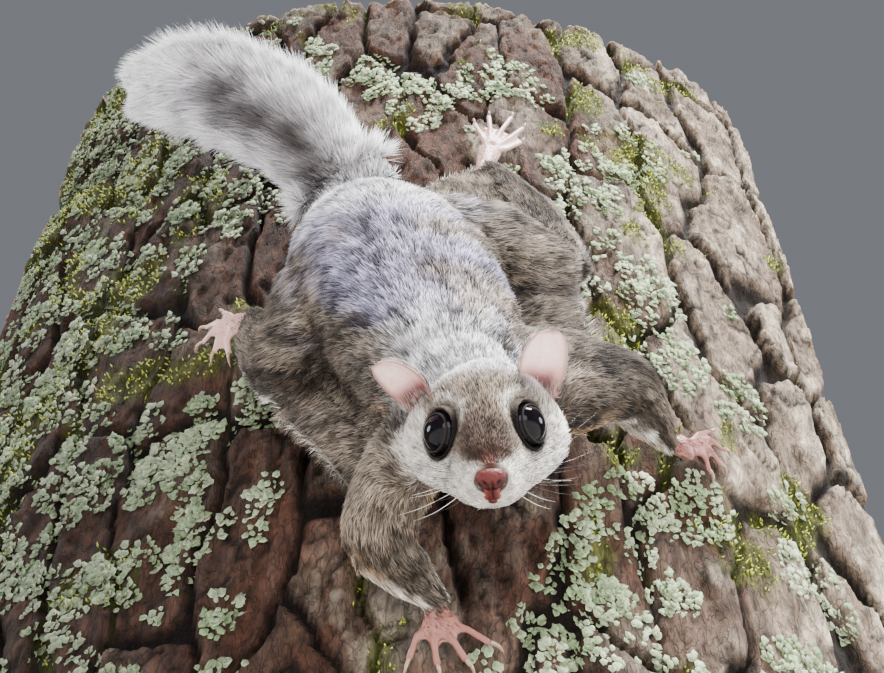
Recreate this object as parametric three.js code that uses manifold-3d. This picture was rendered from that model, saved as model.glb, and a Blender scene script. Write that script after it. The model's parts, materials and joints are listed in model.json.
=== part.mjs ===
// Southern flying squirrel clinging head down to a cut slab of trunk, life size, on a plain stand.
// Millimetres, +Z up. The origin is the centre of the underside of the display base.
// Left and right are the animal's own: its left side is towards +X.

import * as THREE from 'three';
import { mergeVertices } from 'three/addons/utils/BufferGeometryUtils.js';
import Module from 'manifold-3d';

const wasm = await Module();
wasm.setup();

// Driving dimensions of the perch and the stand
const GAP = 0.3;
const TRUNK_RADIUS = 200;
const BARK_CROWN_Y = -38;
const SLAB_HALF_WIDTH = 125;
const SLAB_BACK_Y = 28;
const SLAB_BOTTOM_Z = 75;
const SLAB_TOP_Z = 420;
const PLATES_ACROSS = 13;
const PLATE_TIERS = 8;
const PLATE_EDGES = [0, 0.15, 0.85];
const FURROW_DEPTH = 4;
const CRACK_DEPTH = 2.2;
const BASE_WIDTH = 220;
const BASE_DEPTH = 140;
const BASE_THICKNESS = 12;
const BASE_CORNER = 14;
const BASE_BEVEL = 1.5;
const ROD_RADIUS = 6;
const ROD_SPACING = 130;
const COLLAR_RADIUS = 11;
const COLLAR_HEIGHT = 4;

// Driving dimensions of the animal, coat included
const EYE_RADIUS = 4.4;
const LID_OPENING = 3.9;
const LID_THICKNESS = 0.75;
const SOCKET_DEPTH = 5.2;
const NOSE_HALF_WIDTH = 2.5;
const NOSE_HALF_HEIGHT = 1.9;
const MOUTH_TURN = 68;
const MOUTH_DIP = 11;
const MOUTH_GROOVE = 0.3;
const LIP_TURN = 36;
const LIP_RISE = 4.8;
const LIP_RADIUS = 0.6;
const EAR_WIDTH = 11;
const EAR_THICKNESS = 0.8;
const TOE_RADIUS = 1.15;
const CLAW_LENGTH = 2.4;
const LOCK_HALF_WIDTH = 4.6;
const LOCK_HALF_DEPTH = 0.9;
const TAIL_CORE_SHARE = 0.42;
const TAIL_TIP_REACH = 12;

const TRUNK_AXIS_Y = BARK_CROWN_Y + TRUNK_RADIUS;
const UP = new THREE.Vector3(0, 0, 1);

const vec = (x, y, z) => new THREE.Vector3(x, y, z);

// A point at height h above the bark, found from its x and z
function onBark(x, z, h) {
  const reach = TRUNK_RADIUS + h;
  return vec(x, TRUNK_AXIS_Y - Math.sqrt(reach * reach - x * x), z);
}

// The direction straight out of the trunk at a point
function outward(p) {
  return vec(p.x, p.y - TRUNK_AXIS_Y, 0).normalize();
}

// Closed geometry from rings with equal counts of points, each end closed round its middle
function closeRings(rings) {
  const count = rings[0].length;
  const points = rings.flat();
  const index = [];
  for (let r = 0; r < rings.length - 1; r++) {
    for (let i = 0; i < count; i++) {
      const j = (i + 1) % count;
      const a = r * count + i;
      const b = r * count + j;
      index.push(a, b, b + count, a, b + count, a + count);
    }
  }
  const ends = [[rings[0], 0, false], [rings[rings.length - 1], (rings.length - 1) * count, true]];
  for (const [ring, start, last] of ends) {
    const middle = ring.reduce((sum, p) => sum.add(p), vec(0, 0, 0)).divideScalar(count);
    points.push(middle);
    for (let i = 0; i < count; i++) {
      const a = start + i;
      const b = start + (i + 1) % count;
      index.push(...(last ? [points.length - 1, a, b] : [points.length - 1, b, a]));
    }
  }
  const geometry = new THREE.BufferGeometry().setFromPoints(points);
  geometry.setIndex(index);
  return geometry;
}

// Turns a closed geometry into a solid, with its shared vertices merged and its faces outwards
function solid(geometry) {
  const bare = geometry.clone();
  bare.deleteAttribute('normal');
  bare.deleteAttribute('uv');
  const merged = mergeVertices(bare, 1e-4);
  const triVerts = new Uint32Array(merged.index.array);
  const vertProperties = new Float32Array(merged.attributes.position.array);
  let made = new wasm.Manifold(new wasm.Mesh({ numProp: 3, vertProperties, triVerts }));
  if (made.volume() < 0) {
    for (let i = 0; i < triVerts.length; i += 3) {
      [triVerts[i], triVerts[i + 1]] = [triVerts[i + 1], triVerts[i]];
    }
    made = new wasm.Manifold(new wasm.Mesh({ numProp: 3, vertProperties, triVerts }));
  }
  return made;
}

// Reads a value that is given at each station, smoothly between them
function along(values, u) {
  const curve = new THREE.SplineCurve(values.map((value, i) => new THREE.Vector2(i, value)));
  return curve.getPoint(u).y;
}

// A tapering limb or body length: oval sections along a smooth centre line, with domed ends.
// Each station is [point, half width, half depth]. Grow adds to every side, pear narrows the
// outer half of each section, and bumps push the skin out or in round a point.
function sweep(stations, options) {
  const { sides = 12, steps = 3, grow = 0, domes = [1, 1], domeRings = 2 } = options;
  const { facing = outward, bumps = [], pear = 0 } = options;
  const centre = new THREE.CatmullRomCurve3(stations.map((s) => s[0]), false, 'centripetal');
  const widths = stations.map((s) => s[1]);
  const depths = stations.map((s) => s[2]);
  const count = (stations.length - 1) * steps;
  const rings = [];
  const ring = (u, scale, shift) => {
    const forward = centre.getTangent(u);
    const middle = centre.getPoint(u).addScaledVector(forward, shift);
    const out = facing(middle).clone();
    out.addScaledVector(forward, -out.dot(forward)).normalize();
    const side = vec(0, 0, 0).crossVectors(forward, out);
    const width = (along(widths, u) + grow) * scale;
    const depth = (along(depths, u) + grow) * scale;
    const points = [];
    for (let i = 0; i < sides; i++) {
      const turn = (i / sides) * Math.PI * 2;
      const p = middle.clone();
      p.addScaledVector(side, width * Math.cos(turn) * (1 - pear * Math.sin(turn)));
      p.addScaledVector(out, depth * Math.sin(turn));
      const shift = vec(0, 0, 0);
      for (const { at, push, reach } of bumps) {
        shift.addScaledVector(push, Math.exp(-p.distanceToSquared(at) / (reach * reach)));
      }
      points.push(p.add(shift));
    }
    rings.push(points);
  };
  const domeLength = (end) => {
    const u = end;
    return Math.min(along(widths, u), along(depths, u)) * domes[end] + grow;
  };
  for (let d = domeRings; d > 0; d--) {
    const turn = (d / (domeRings + 0.5)) * Math.PI / 2;
    ring(0, Math.cos(turn), -domeLength(0) * Math.sin(turn));
  }
  for (let i = 0; i <= count; i++) {
    ring(i / count, 1, 0);
  }
  for (let d = 1; d <= domeRings; d++) {
    const turn = (d / (domeRings + 0.5)) * Math.PI / 2;
    ring(1, Math.cos(turn), domeLength(1) * Math.sin(turn));
  }
  return closeRings(rings);
}

// An oval ball, its three radii laid along the columns of a turned frame
function ball(at, radii, frame, detail = 12) {
  const geometry = new THREE.SphereGeometry(1, detail * 2, detail);
  const matrix = frame.clone().scale(radii);
  matrix.setPosition(at);
  return geometry.applyMatrix4(matrix);
}

// The slab: flat bark plates between narrow furrows round the front, sawn flat elsewhere
function barkSlab(grow) {
  const lines = (count) => {
    const list = [];
    for (let i = 0; i < count; i++) {
      list.push(...PLATE_EDGES.map((edge) => ({ index: i, seam: edge === 0, share: (i + edge) / count })));
    }
    return [...list, { index: count, seam: true, share: 1 }];
  };
  const rings = lines(PLATE_TIERS).map((row) => {
    const z = SLAB_BOTTOM_Z - grow + (SLAB_TOP_Z - SLAB_BOTTOM_Z + 2 * grow) * row.share;
    const ring = lines(PLATES_ACROSS).map((column) => {
      const even = column.share * 2 - 1;
      const wander = (6 * Math.sin(z / 37 + even * 3) + 3 * Math.sin(z / 17 - even * 5)) * (1 - even * even);
      const furrow = column.seam ? FURROW_DEPTH : 0;
      const crack = row.seam && (row.index + column.index) % 2 === 0 ? CRACK_DEPTH : 0;
      const tilt = 0.5 * (1 + Math.sin(column.index * 2.4 + row.index * 1.9));
      const drop = grow > 0 ? 0 : Math.max(furrow, crack, tilt);
      return onBark(even * (SLAB_HALF_WIDTH + grow) + wander, z, grow - drop);
    });
    for (const side of [1, 0, -1]) {
      ring.push(vec(side * (SLAB_HALF_WIDTH + grow), SLAB_BACK_Y + grow, z));
    }
    return ring;
  });
  return closeRings(rings);
}

// The base: a flat plate with round corners and a small bevel
function basePlate() {
  const bevel = BASE_BEVEL;
  const halfWidth = BASE_WIDTH / 2 - bevel;
  const halfDepth = BASE_DEPTH / 2 - bevel;
  const corner = BASE_CORNER - bevel;
  const outline = new THREE.Shape();
  outline.absarc(halfWidth - corner, halfDepth - corner, corner, 0, Math.PI / 2);
  outline.absarc(corner - halfWidth, halfDepth - corner, corner, Math.PI / 2, Math.PI);
  outline.absarc(corner - halfWidth, corner - halfDepth, corner, Math.PI, Math.PI * 1.5);
  outline.absarc(halfWidth - corner, corner - halfDepth, corner, Math.PI * 1.5, Math.PI * 2);
  const plate = new THREE.ExtrudeGeometry(outline, {
    depth: BASE_THICKNESS - 2 * bevel,
    bevelThickness: bevel,
    bevelSize: bevel,
    bevelSegments: 1,
    curveSegments: 4,
  });
  return plate.translate(0, 0, bevel);
}

// A rod with a collar at its foot, from the top of the base to the sawn lower end of the slab
function standRod(side) {
  const foot = BASE_THICKNESS + GAP;
  const head = SLAB_BOTTOM_Z - GAP;
  const profile = [
    [0, foot],
    [COLLAR_RADIUS, foot],
    [COLLAR_RADIUS, foot + COLLAR_HEIGHT - 1],
    [COLLAR_RADIUS - 1, foot + COLLAR_HEIGHT],
    [ROD_RADIUS, foot + COLLAR_HEIGHT],
    [ROD_RADIUS, head],
    [0, head],
  ].map(([radius, z]) => new THREE.Vector2(radius, z));
  const rod = new THREE.LatheGeometry(profile, 16);
  return rod.rotateX(Math.PI / 2).translate(side * ROD_SPACING / 2, 0, 0);
}

// The head's own frame: forward along the muzzle, left across, crown up and out from the trunk
const EYES_MIDDLE = vec(19.75, -72, 184.65);
const HEAD_FORWARD = vec(0.03, -0.36, -0.933).normalize();
const HEAD_LEFT = vec(0.995, -0.075, 0.06).projectOnPlane(HEAD_FORWARD).normalize();
const HEAD_CROWN = vec(0, 0, 0).crossVectors(HEAD_FORWARD, HEAD_LEFT).normalize();
const HEAD_TURN = new THREE.Matrix4().makeBasis(HEAD_LEFT, HEAD_FORWARD, HEAD_CROWN);

// A point of the head, from its distances forward, to the animal's left and towards the crown
function onHead(forward, left, crown) {
  const p = EYES_MIDDLE.clone();
  p.addScaledVector(HEAD_FORWARD, forward);
  p.addScaledVector(HEAD_LEFT, left);
  return p.addScaledVector(HEAD_CROWN, crown);
}

function headDirection(forward, left, crown) {
  return onHead(forward, left, crown).sub(EYES_MIDDLE).normalize();
}

const eyeCentre = (side) => onHead(-0.9, side * 6.8, -0.9);
const eyeGaze = (side) => headDirection(0.42, side * 0.8, 0.43);

// Each ear from its root to its tip, and the way its hollow faces
const EARS = {
  left: [onHead(-10, 11.5, 0), onHead(-14.5, 13.5, 12.2), headDirection(0.8, 0.45, 0.3)],
  right: [onHead(-8, -11, 1), onHead(-10, -17.5, 11.6), headDirection(0.75, -0.65, 0)],
};

function eyeShape(side, grow) {
  const radius = EYE_RADIUS + grow;
  return [ball(eyeCentre(side), vec(radius, radius, radius), HEAD_TURN, 8)];
}

function nosePad(grow) {
  const size = vec(NOSE_HALF_WIDTH + grow, NOSE_HALF_HEIGHT + grow, NOSE_HALF_HEIGHT + grow);
  return [ball(onHead(14.6, 0, -2), size, HEAD_TURN, 8)];
}

// Stations of the skull with its fur, from the back of the head to the end of the muzzle
const HEAD_STATIONS = [
  [-18, -1.5, 8, 7.5],
  [-14, -1.6, 12.6, 10],
  [-8, -2.4, 15, 11.2],
  [-2, -3.2, 15.2, 10.8],
  [3, -3.8, 13.4, 9.6],
  [7, -4.1, 10, 8.2],
  [10.5, -4.3, 7.3, 6.7],
  [13.2, -4, 5.2, 5],
];

function headShape(grow) {
  const stations = HEAD_STATIONS.map(([forward, crown, w, t]) => [onHead(forward, 0, crown), w, t]);
  const bumps = [];
  for (const side of [1, -1]) {
    const cheek = headDirection(0, side, -0.3).multiplyScalar(2.2);
    const pad = headDirection(0.3, side, 0).multiplyScalar(1);
    const socket = eyeGaze(side).multiplyScalar(-SOCKET_DEPTH);
    bumps.push({ at: onHead(-4, side * 13, -6), push: cheek, reach: 7 });
    bumps.push({ at: onHead(10, side * 5, -5), push: pad, reach: 3.5 });
    bumps.push({ at: onHead(1.3, side * 12.5, 0.5), push: socket, reach: 7 });
  }
  const facing = () => HEAD_CROWN;
  return [sweep(stations, { sides: 26, steps: 3, grow, domes: [0.8, 0.55], facing, bumps, pear: 0.12 })];
}

// A point of the muzzle's surface, found by a ray out of its middle, turned and dipped in degrees
const muzzleProbe = new THREE.Mesh(headShape(0)[0], new THREE.MeshBasicMaterial({ side: THREE.DoubleSide }));
const muzzleCore = onHead(9, 0, -5);

function onMuzzle(turn, dip) {
  const yaw = THREE.MathUtils.degToRad(turn);
  const pitch = THREE.MathUtils.degToRad(dip);
  const level = Math.cos(pitch);
  const way = headDirection(Math.cos(yaw) * level, Math.sin(yaw) * level, -Math.sin(pitch));
  return new THREE.Raycaster(muzzleCore, way).intersectObject(muzzleProbe)[0].point;
}

// The line of the mouth, from one corner round the front to the other; lift moves it up the muzzle
function mouthLine(reach, lift, radius, sides) {
  const stations = [];
  for (let turn = -reach; turn <= reach; turn += reach / 4) {
    const dip = MOUTH_DIP + 30 * Math.pow(Math.abs(turn) / 75, 1.2) - lift;
    stations.push([onMuzzle(turn, dip), radius, radius]);
  }
  return sweep(stations, { sides, steps: 1, domeRings: 1, facing: () => HEAD_FORWARD });
}

function philtrum() {
  const stations = [2, 6, MOUTH_DIP].map((dip) => [onMuzzle(0, dip), MOUTH_GROOVE, MOUTH_GROOVE]);
  return sweep(stations, { sides: 5, steps: 1, domeRings: 1, facing: () => HEAD_LEFT });
}

const lips = () => [LIP_RISE, -LIP_RISE].map((rise) => mouthLine(LIP_TURN, rise, LIP_RADIUS, 5));
const mouthCuts = () => [mouthLine(MOUTH_TURN, 0, MOUTH_GROOVE, 5), philtrum()];

function nostrils() {
  const size = vec(0.45, 0.5, 0.75);
  return [1, -1].map((side) => ball(onHead(16.2, side * 1.35, -1.9), size, HEAD_TURN, 4));
}

// A lid: a ring round the opening of the eye, its plane square to the way the eye looks
function lid(side) {
  const ring = new THREE.TorusGeometry(LID_OPENING, LID_THICKNESS, 5, 18);
  const turn = new THREE.Quaternion().setFromUnitVectors(UP, eyeGaze(side));
  const depth = Math.sqrt(EYE_RADIUS * EYE_RADIUS - LID_OPENING * LID_OPENING);
  const at = eyeCentre(side).addScaledVector(eyeGaze(side), depth);
  return ring.applyQuaternion(turn).translate(at.x, at.y, at.z);
}

// An ear: a thin cupped petal with a rounded tip, its hollow facing the given way
function earShape(root, tip, open, grow) {
  const rows = 7;
  const columns = 6;
  const axis = tip.clone().sub(root);
  const length = axis.length();
  axis.normalize();
  const hollow = open.clone().projectOnPlane(axis).normalize();
  const side = vec(0, 0, 0).crossVectors(axis, hollow);
  const place = (t, c, offset) => {
    const half = (EAR_WIDTH / 2 + grow) * Math.sqrt(Math.sin(Math.PI * (0.2 + 0.79 * t)));
    const curl = 1 - c * c;
    const p = root.clone().addScaledVector(axis, length * t + grow * (2 * t - 1));
    p.addScaledVector(side, half * c);
    return p.addScaledVector(hollow, offset - half * 0.62 * curl + length * 0.18 * t * t);
  };
  const thickness = EAR_THICKNESS / 2 + grow;
  const rings = [];
  for (let r = 0; r <= rows; r++) {
    const t = r / rows;
    const ring = [];
    for (let c = 0; c <= columns; c++) {
      ring.push(place(t, (c / columns) * 2 - 1, thickness));
    }
    for (let c = columns; c >= 0; c--) {
      ring.push(place(t, (c / columns) * 2 - 1, -thickness));
    }
    rings.push(ring);
  }
  return [closeRings(rings)];
}

// A foot: palm or sole, then toes that reach out over the bark, each with its pad and claw
function pawShape({ heel, palm, width, depth, toes }, grow) {
  const shapes = [sweep([
    [onBark(...heel), width * 0.62, depth * 0.8],
    [onBark(...palm), width, depth],
  ], { sides: 10, steps: 2, grow, domes: [0.8, 0.9] })];
  for (const [knuckle, tip] of toes) {
    const from = onBark(...palm);
    const bend = onBark(...knuckle);
    const end = onBark(...tip);
    const root = from.clone().lerp(bend, 0.35);
    shapes.push(sweep([
      [root, TOE_RADIUS * 1.25, TOE_RADIUS * 1.2],
      [bend, TOE_RADIUS, TOE_RADIUS],
      [end, TOE_RADIUS * 1.05, TOE_RADIUS * 0.8],
    ], { sides: 6, steps: 1, grow, domeRings: 1, domes: [0.8, 0.9] }));
    const reach = end.clone().sub(bend).normalize();
    const clawTip = end.clone().addScaledVector(reach, TOE_RADIUS + CLAW_LENGTH * 0.6);
    const arch = end.clone().lerp(clawTip, 0.6).addScaledVector(outward(end), 0.5);
    shapes.push(sweep([
      [end, 0.55, 0.6],
      [arch, 0.4, 0.5],
      [clawTip, 0.14, 0.18],
    ], { sides: 4, steps: 1, grow, domeRings: 0 }));
  }
  return shapes;
}

// Body lengths as [x, z, height above bark, half width, half depth]
const limb = (rows) => rows.map(([x, z, h, w, t]) => [onBark(x, z, h), w, t]);

const TORSO = limb([
  [-12, 277, 13, 9, 8],
  [-8, 268, 16, 18, 13],
  [-3, 254, 18.5, 24, 16.5],
  [3, 238, 19.5, 25, 18],
  [8, 223, 20, 23.5, 18.5],
  [12, 210, 21.5, 19, 17.5],
]);
const NECK = limb([
  [11, 212, 22, 15, 15],
  [15, 203, 24, 14.5, 14],
  [18, 195, 27, 12, 11],
]);
// The short-haired root of the tail, then the brush with all its hair
const TAIL_ROOT = limb([[-9, 277, 15, 14.5, 7], [-15, 283.5, 19, 14, 6.5]]);
const BRUSH_ROWS = [
  [-15, 283.5, 19, 17.5, 6.5],
  [-24, 292, 25.5, 19, 6.5],
  [-36, 301.5, 30.5, 19.5, 6],
  [-50, 310.5, 34, 19, 5.5],
  [-62, 314.5, 35.5, 16, 5],
  [-71, 314, 36, 11, 4],
];
const TAIL_FACING = vec(0.1, -0.82, -0.56).normalize();
const UPPER_ARM = {
  right: limb([[8, 196, 19, 9, 9], [3, 186, 17, 9.5, 9], [-0.5, 177, 14, 8.5, 8]]),
  left: limb([[22, 210.5, 20, 15, 11.5], [40, 216.5, 16.5, 14.5, 10.5], [52, 222, 13, 10, 8.5]]),
};
const FOREARM = {
  right: limb([[0, 175, 12, 7.5, 7.5], [5.5, 170.5, 8.5, 6, 5.5], [10.5, 167, 5.5, 3.6, 3.2]]),
  left: limb([[54, 222, 11, 9, 8], [59.5, 216.5, 8, 6.8, 5.8], [63, 213.5, 5.5, 3.8, 3.3]]),
};
const THIGH = {
  right: limb([[-7, 253, 19, 13, 12], [-15, 238, 17.5, 14, 13], [-21, 222, 14, 11, 10]]),
  left: limb([[8, 258, 19, 13, 12], [25, 258, 17, 14, 12.5], [38, 257, 13, 10.5, 9.5]]),
};
const SHIN = {
  right: limb([[-24, 221, 11, 8, 8], [-30, 233, 9.5, 7.5, 7], [-33, 244, 7.5, 4.5, 4.2]]),
  left: limb([[42, 261, 11.5, 9, 8], [36, 281, 10.5, 8.5, 7], [26, 302, 8, 5, 4.5]]),
};
// The fold of skin and pale fringe that spans from the left shin to the rump
const ANKLE_FOLD = limb([[24, 300, 7.5, 5, 3.2], [19, 290, 9.5, 10, 3.5], [14, 277, 11.5, 14, 4]]);
const PATAGIUM = {
  right: limb([[-18, 216, 9, 9, 3], [-9, 206, 10, 9, 3], [-2, 195, 11, 9, 3], [1, 185, 12, 7, 3]]),
  left: limb([[37, 254, 9.5, 10, 3], [36, 243, 10.5, 11, 3], [38, 231, 11.5, 11, 3], [41, 222, 12, 9, 3]]),
};
const HAND = {
  right: {
    heel: [10.8, 166, 4.2],
    palm: [11.6, 163, 3.4],
    width: 4.2,
    depth: 2.2,
    toes: [
      [[7.3, 160.5, 3.3], [5.9, 156.5, 1.7]],
      [[10.3, 159.4, 3.5], [11.2, 155.5, 1.7]],
      [[13.9, 159.8, 3.4], [16.4, 156.7, 1.7]],
      [[16.5, 162.3, 3.2], [21, 160.4, 1.7]],
    ],
  },
  left: {
    heel: [64.5, 213.4, 4.4],
    palm: [68.3, 215, 3.6],
    width: 4.2,
    depth: 2.2,
    toes: [
      [[72.8, 214, 3.4], [73.8, 211.4, 1.7]],
      [[74.4, 216.6, 3.6], [77, 214.4, 1.7]],
      [[75, 219.6, 3.6], [78.8, 219.4, 1.7]],
      [[72.4, 220.4, 3.4], [76.4, 224, 1.7]],
    ],
  },
};
const FOOT = {
  right: {
    heel: [-33.5, 246.5, 5.2],
    palm: [-39, 247, 4],
    width: 4,
    depth: 2.4,
    toes: [
      [[-41, 251.6, 3.4], [-43.6, 255, 1.7]],
      [[-44, 249.6, 3.6], [-47.4, 250.4, 1.7]],
      [[-44.6, 246.8, 3.6], [-47.4, 245, 1.7]],
      [[-43, 244.2, 3.5], [-43.8, 240.8, 1.7]],
      [[-40.6, 243, 3.3], [-40, 239.6, 1.7]],
    ],
  },
  left: {
    heel: [23.6, 306, 5.4],
    palm: [26, 319, 3.8],
    width: 4,
    depth: 2.4,
    toes: [
      [[23.6, 328, 3.4], [22, 336, 1.7]],
      [[26.6, 331, 3.6], [26.6, 341, 1.7]],
      [[30, 331, 3.6], [33.6, 342, 1.7]],
      [[32, 327, 3.5], [37, 337, 1.7]],
      [[31, 321.6, 3.3], [36, 329, 1.7]],
    ],
  },
};

function tailRoot(grow) {
  return [sweep(TAIL_ROOT, { sides: 16, steps: 3, grow, domes: [0.5, 0.4], facing: () => TAIL_FACING })];
}

// The middle line of the brush, and points of the tail's flat outline at a share of its width
const brushLine = new THREE.CatmullRomCurve3(limb(BRUSH_ROWS).map((s) => s[0]), false, 'centripetal');
const brushLength = brushLine.getLength();

function onBrush(u, share, lift = 0) {
  const held = Math.min(u, 1);
  const past = (u - held) * brushLength;
  const forward = brushLine.getTangent(held);
  const across = vec(0, 0, 0).crossVectors(forward, TAIL_FACING).normalize();
  const round = Math.sqrt(Math.max(0, 1 - (past / TAIL_TIP_REACH) ** 2));
  const half = along(BRUSH_ROWS.map((row) => row[3]), held) * round;
  const p = brushLine.getPoint(held).addScaledVector(forward, past);
  return p.addScaledVector(across, share * half).addScaledVector(TAIL_FACING, lift);
}

// The brush: a slim core, and tiers of flat locks that leave it, sweep back and overlap
const LOCK_TIERS = [
  { count: 9, from: 0, to: 0.88, root: 0.1, end: 1, sweepBack: 0.25, lift: 0 },
  { count: 6, from: 0.04, to: 0.82, root: 0.05, end: 0.72, sweepBack: 0.22, lift: 2 },
];

function tailBrush(grow) {
  const facing = () => TAIL_FACING;
  const core = limb(BRUSH_ROWS.map(([x, z, h, w, t]) => [x, z, h, w * TAIL_CORE_SHARE, t * 0.75]));
  const shapes = [sweep(core, { sides: 12, steps: 2, grow, domes: [0.5, 1], facing })];
  const lock = (root, middle, tip) => shapes.push(sweep([
    [root, LOCK_HALF_WIDTH * 0.8, LOCK_HALF_DEPTH],
    [middle, LOCK_HALF_WIDTH, LOCK_HALF_DEPTH],
    [tip, 1.1, 0.35],
  ], { sides: 4, steps: 1, grow, domeRings: 0, facing }));
  for (const { count, from, to, root, end, sweepBack, lift } of LOCK_TIERS) {
    for (let i = 0; i < count * 2; i++) {
      const side = i % 2 === 0 ? 1 : -1;
      const place = Math.floor(i / 2);
      const progress = place / (count - 1);
      const start = from + progress * (to - from);
      const back = sweepBack * Math.min(1, 0.55 + progress);
      const layer = lift + (place % 2 === 0 ? 0.35 : -0.35);
      lock(
        onBrush(start, side * root, layer),
        onBrush(start + back * 0.45, side * end * 0.66, layer),
        onBrush(start + back, side * end, layer * 0.4));
    }
  }
  for (const share of [-0.45, 0, 0.45]) {
    const far = 1 + TAIL_TIP_REACH * (1 - 0.3 * Math.abs(share)) / brushLength;
    lock(onBrush(0.85, share * 0.4), onBrush(1, share * 0.8), onBrush(far, share * 0.7));
  }
  return shapes;
}

const finish = (color, roughness, metalness = 0) =>
  new THREE.MeshStandardMaterial({ color, roughness, metalness });
const FUR_GREY = finish(0x8d8680, 0.95);
const FUR_PALE = finish(0xa9a3a2, 0.95);
const SKIN_PINK = finish(0xc99a90, 0.6);
const EYE_BLACK = finish(0x0b0b0f, 0.08);
const NOSE_RED = finish(0xb4605a, 0.45);
const BARK = finish(0x6f5547, 0.95);
const STEEL = finish(0x9a9b9d, 0.35, 0.9);
const OAK = finish(0x8a6742, 0.6);

// Every node in the order in which it takes its space: each later one is cut clear of the earlier
const order = [];
const node = (name, material, shapes, cuts = () => []) => order.push({ name, material, shapes, cuts });
const SIDES = { right: -1, left: 1 };

node('perch_trunk_slab', BARK, (grow) => [barkSlab(grow)]);
for (const [name, side] of Object.entries(SIDES)) {
  node(`eye_${name}`, EYE_BLACK, (grow) => eyeShape(side, grow));
}
node('nose', NOSE_RED, nosePad, nostrils);
node('head', FUR_GREY, (grow) => [...headShape(grow), lid(1), lid(-1), ...lips()], mouthCuts);
node('torso', FUR_GREY, (grow) => [sweep(TORSO, { sides: 22, steps: 3, grow, domes: [0.8, 0.6] })]);
node('neck', FUR_GREY, (grow) => [sweep(NECK, { sides: 16, steps: 2, grow, domes: [0.5, 0.4] })]);
node('ear_left', SKIN_PINK, (grow) => earShape(...EARS.left, grow));
node('ear_right', SKIN_PINK, (grow) => earShape(...EARS.right, grow));
for (const name of Object.keys(SIDES)) {
  node(`thigh_${name}`, FUR_GREY, (grow) => [sweep(THIGH[name], { sides: 14, steps: 2, grow })]);
}
node('tail_root', FUR_PALE, tailRoot);
node('tail_brush', FUR_PALE, tailBrush);
for (const name of Object.keys(SIDES)) {
  node(`upper_arm_${name}`, FUR_GREY, (grow) => [sweep(UPPER_ARM[name], { sides: 12, steps: 2, grow })]);
  node(`foot_${name}`, SKIN_PINK, (grow) => pawShape(FOOT[name], grow));
  node(`hand_${name}`, SKIN_PINK, (grow) => pawShape(HAND[name], grow));
  node(`shin_${name}`, FUR_GREY, (grow) => {
    const folds = name === 'left' ? [ANKLE_FOLD] : [];
    return [SHIN[name], ...folds].map((stations) => sweep(stations, { sides: 10, steps: 2, grow }));
  });
  node(`forearm_${name}`, FUR_GREY, (grow) => [sweep(FOREARM[name], { sides: 10, steps: 2, grow })]);
  node(`patagium_${name}`, FUR_PALE, (grow) => [sweep(PATAGIUM[name], { sides: 10, steps: 2, grow })]);
}

const model = new THREE.Group();

// Puts a finished solid or geometry into the model as a named mesh
function place(name, geometry, material) {
  geometry.computeVertexNormals();
  const mesh = new THREE.Mesh(geometry, material);
  mesh.name = name;
  model.add(mesh);
}

function toGeometry(made) {
  const { vertProperties, triVerts } = made.getMesh();
  const geometry = new THREE.BufferGeometry();
  geometry.setAttribute('position', new THREE.BufferAttribute(new Float32Array(vertProperties), 3));
  geometry.setIndex(new THREE.BufferAttribute(new Uint32Array(triVerts), 1));
  return geometry;
}

const fuse = (shapes) => shapes.map(solid).reduce((all, one) => all.add(one));
const largest = (made) => made.decompose().reduce((a, b) => (a.volume() > b.volume() ? a : b));

const taken = [];
for (const { name, material, shapes, cuts } of order) {
  let made = fuse(shapes(0));
  for (const space of [...taken, ...cuts().map(solid)]) {
    made = made.subtract(space);
  }
  taken.push(fuse(shapes(GAP)));
  place(name, toGeometry(largest(made)), material);
}

place('stand_base', basePlate(), OAK);
place('stand_rod_left', standRod(1), STEEL);
place('stand_rod_right', standRod(-1), STEEL);

export default model;
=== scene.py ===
# %% [markdown]
# # A southern flying squirrel, life size, on a cut length of trunk
# This lesson dresses a set of plain solids. The solids give the pose and the sizes. Blender adds
# one skin, glossy eyes, a coat of solid tufts, bark with lichen, and the finish of the stand.
# Sizes are written in millimetres and become metres where a mesh is made, because millimetres
# are easy to compare with a real animal.

import json
import math

import bmesh
import bpy
import numpy as np
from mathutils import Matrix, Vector
from mathutils.kdtree import KDTree

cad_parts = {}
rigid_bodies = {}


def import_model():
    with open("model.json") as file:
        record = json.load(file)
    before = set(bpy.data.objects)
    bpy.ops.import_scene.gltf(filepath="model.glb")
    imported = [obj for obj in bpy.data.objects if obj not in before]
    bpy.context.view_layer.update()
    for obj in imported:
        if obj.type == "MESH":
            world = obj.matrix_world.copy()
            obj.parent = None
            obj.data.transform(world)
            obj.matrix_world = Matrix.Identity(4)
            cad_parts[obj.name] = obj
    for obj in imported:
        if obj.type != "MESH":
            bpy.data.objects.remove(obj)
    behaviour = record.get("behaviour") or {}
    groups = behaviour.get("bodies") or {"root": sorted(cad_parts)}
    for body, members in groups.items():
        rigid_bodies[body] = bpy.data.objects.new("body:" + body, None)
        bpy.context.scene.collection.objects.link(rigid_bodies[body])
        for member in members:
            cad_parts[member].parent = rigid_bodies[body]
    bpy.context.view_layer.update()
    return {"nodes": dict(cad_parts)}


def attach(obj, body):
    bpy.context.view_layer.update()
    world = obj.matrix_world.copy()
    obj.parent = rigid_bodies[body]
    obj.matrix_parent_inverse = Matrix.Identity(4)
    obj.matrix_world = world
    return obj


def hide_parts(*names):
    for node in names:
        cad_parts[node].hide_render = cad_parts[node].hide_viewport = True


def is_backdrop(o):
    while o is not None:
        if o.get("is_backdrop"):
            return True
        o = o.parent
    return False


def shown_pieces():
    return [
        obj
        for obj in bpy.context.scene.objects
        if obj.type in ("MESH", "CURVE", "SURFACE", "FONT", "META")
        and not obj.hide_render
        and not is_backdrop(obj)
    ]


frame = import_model()
nodes = frame["nodes"]
MM = 0.001
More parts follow.
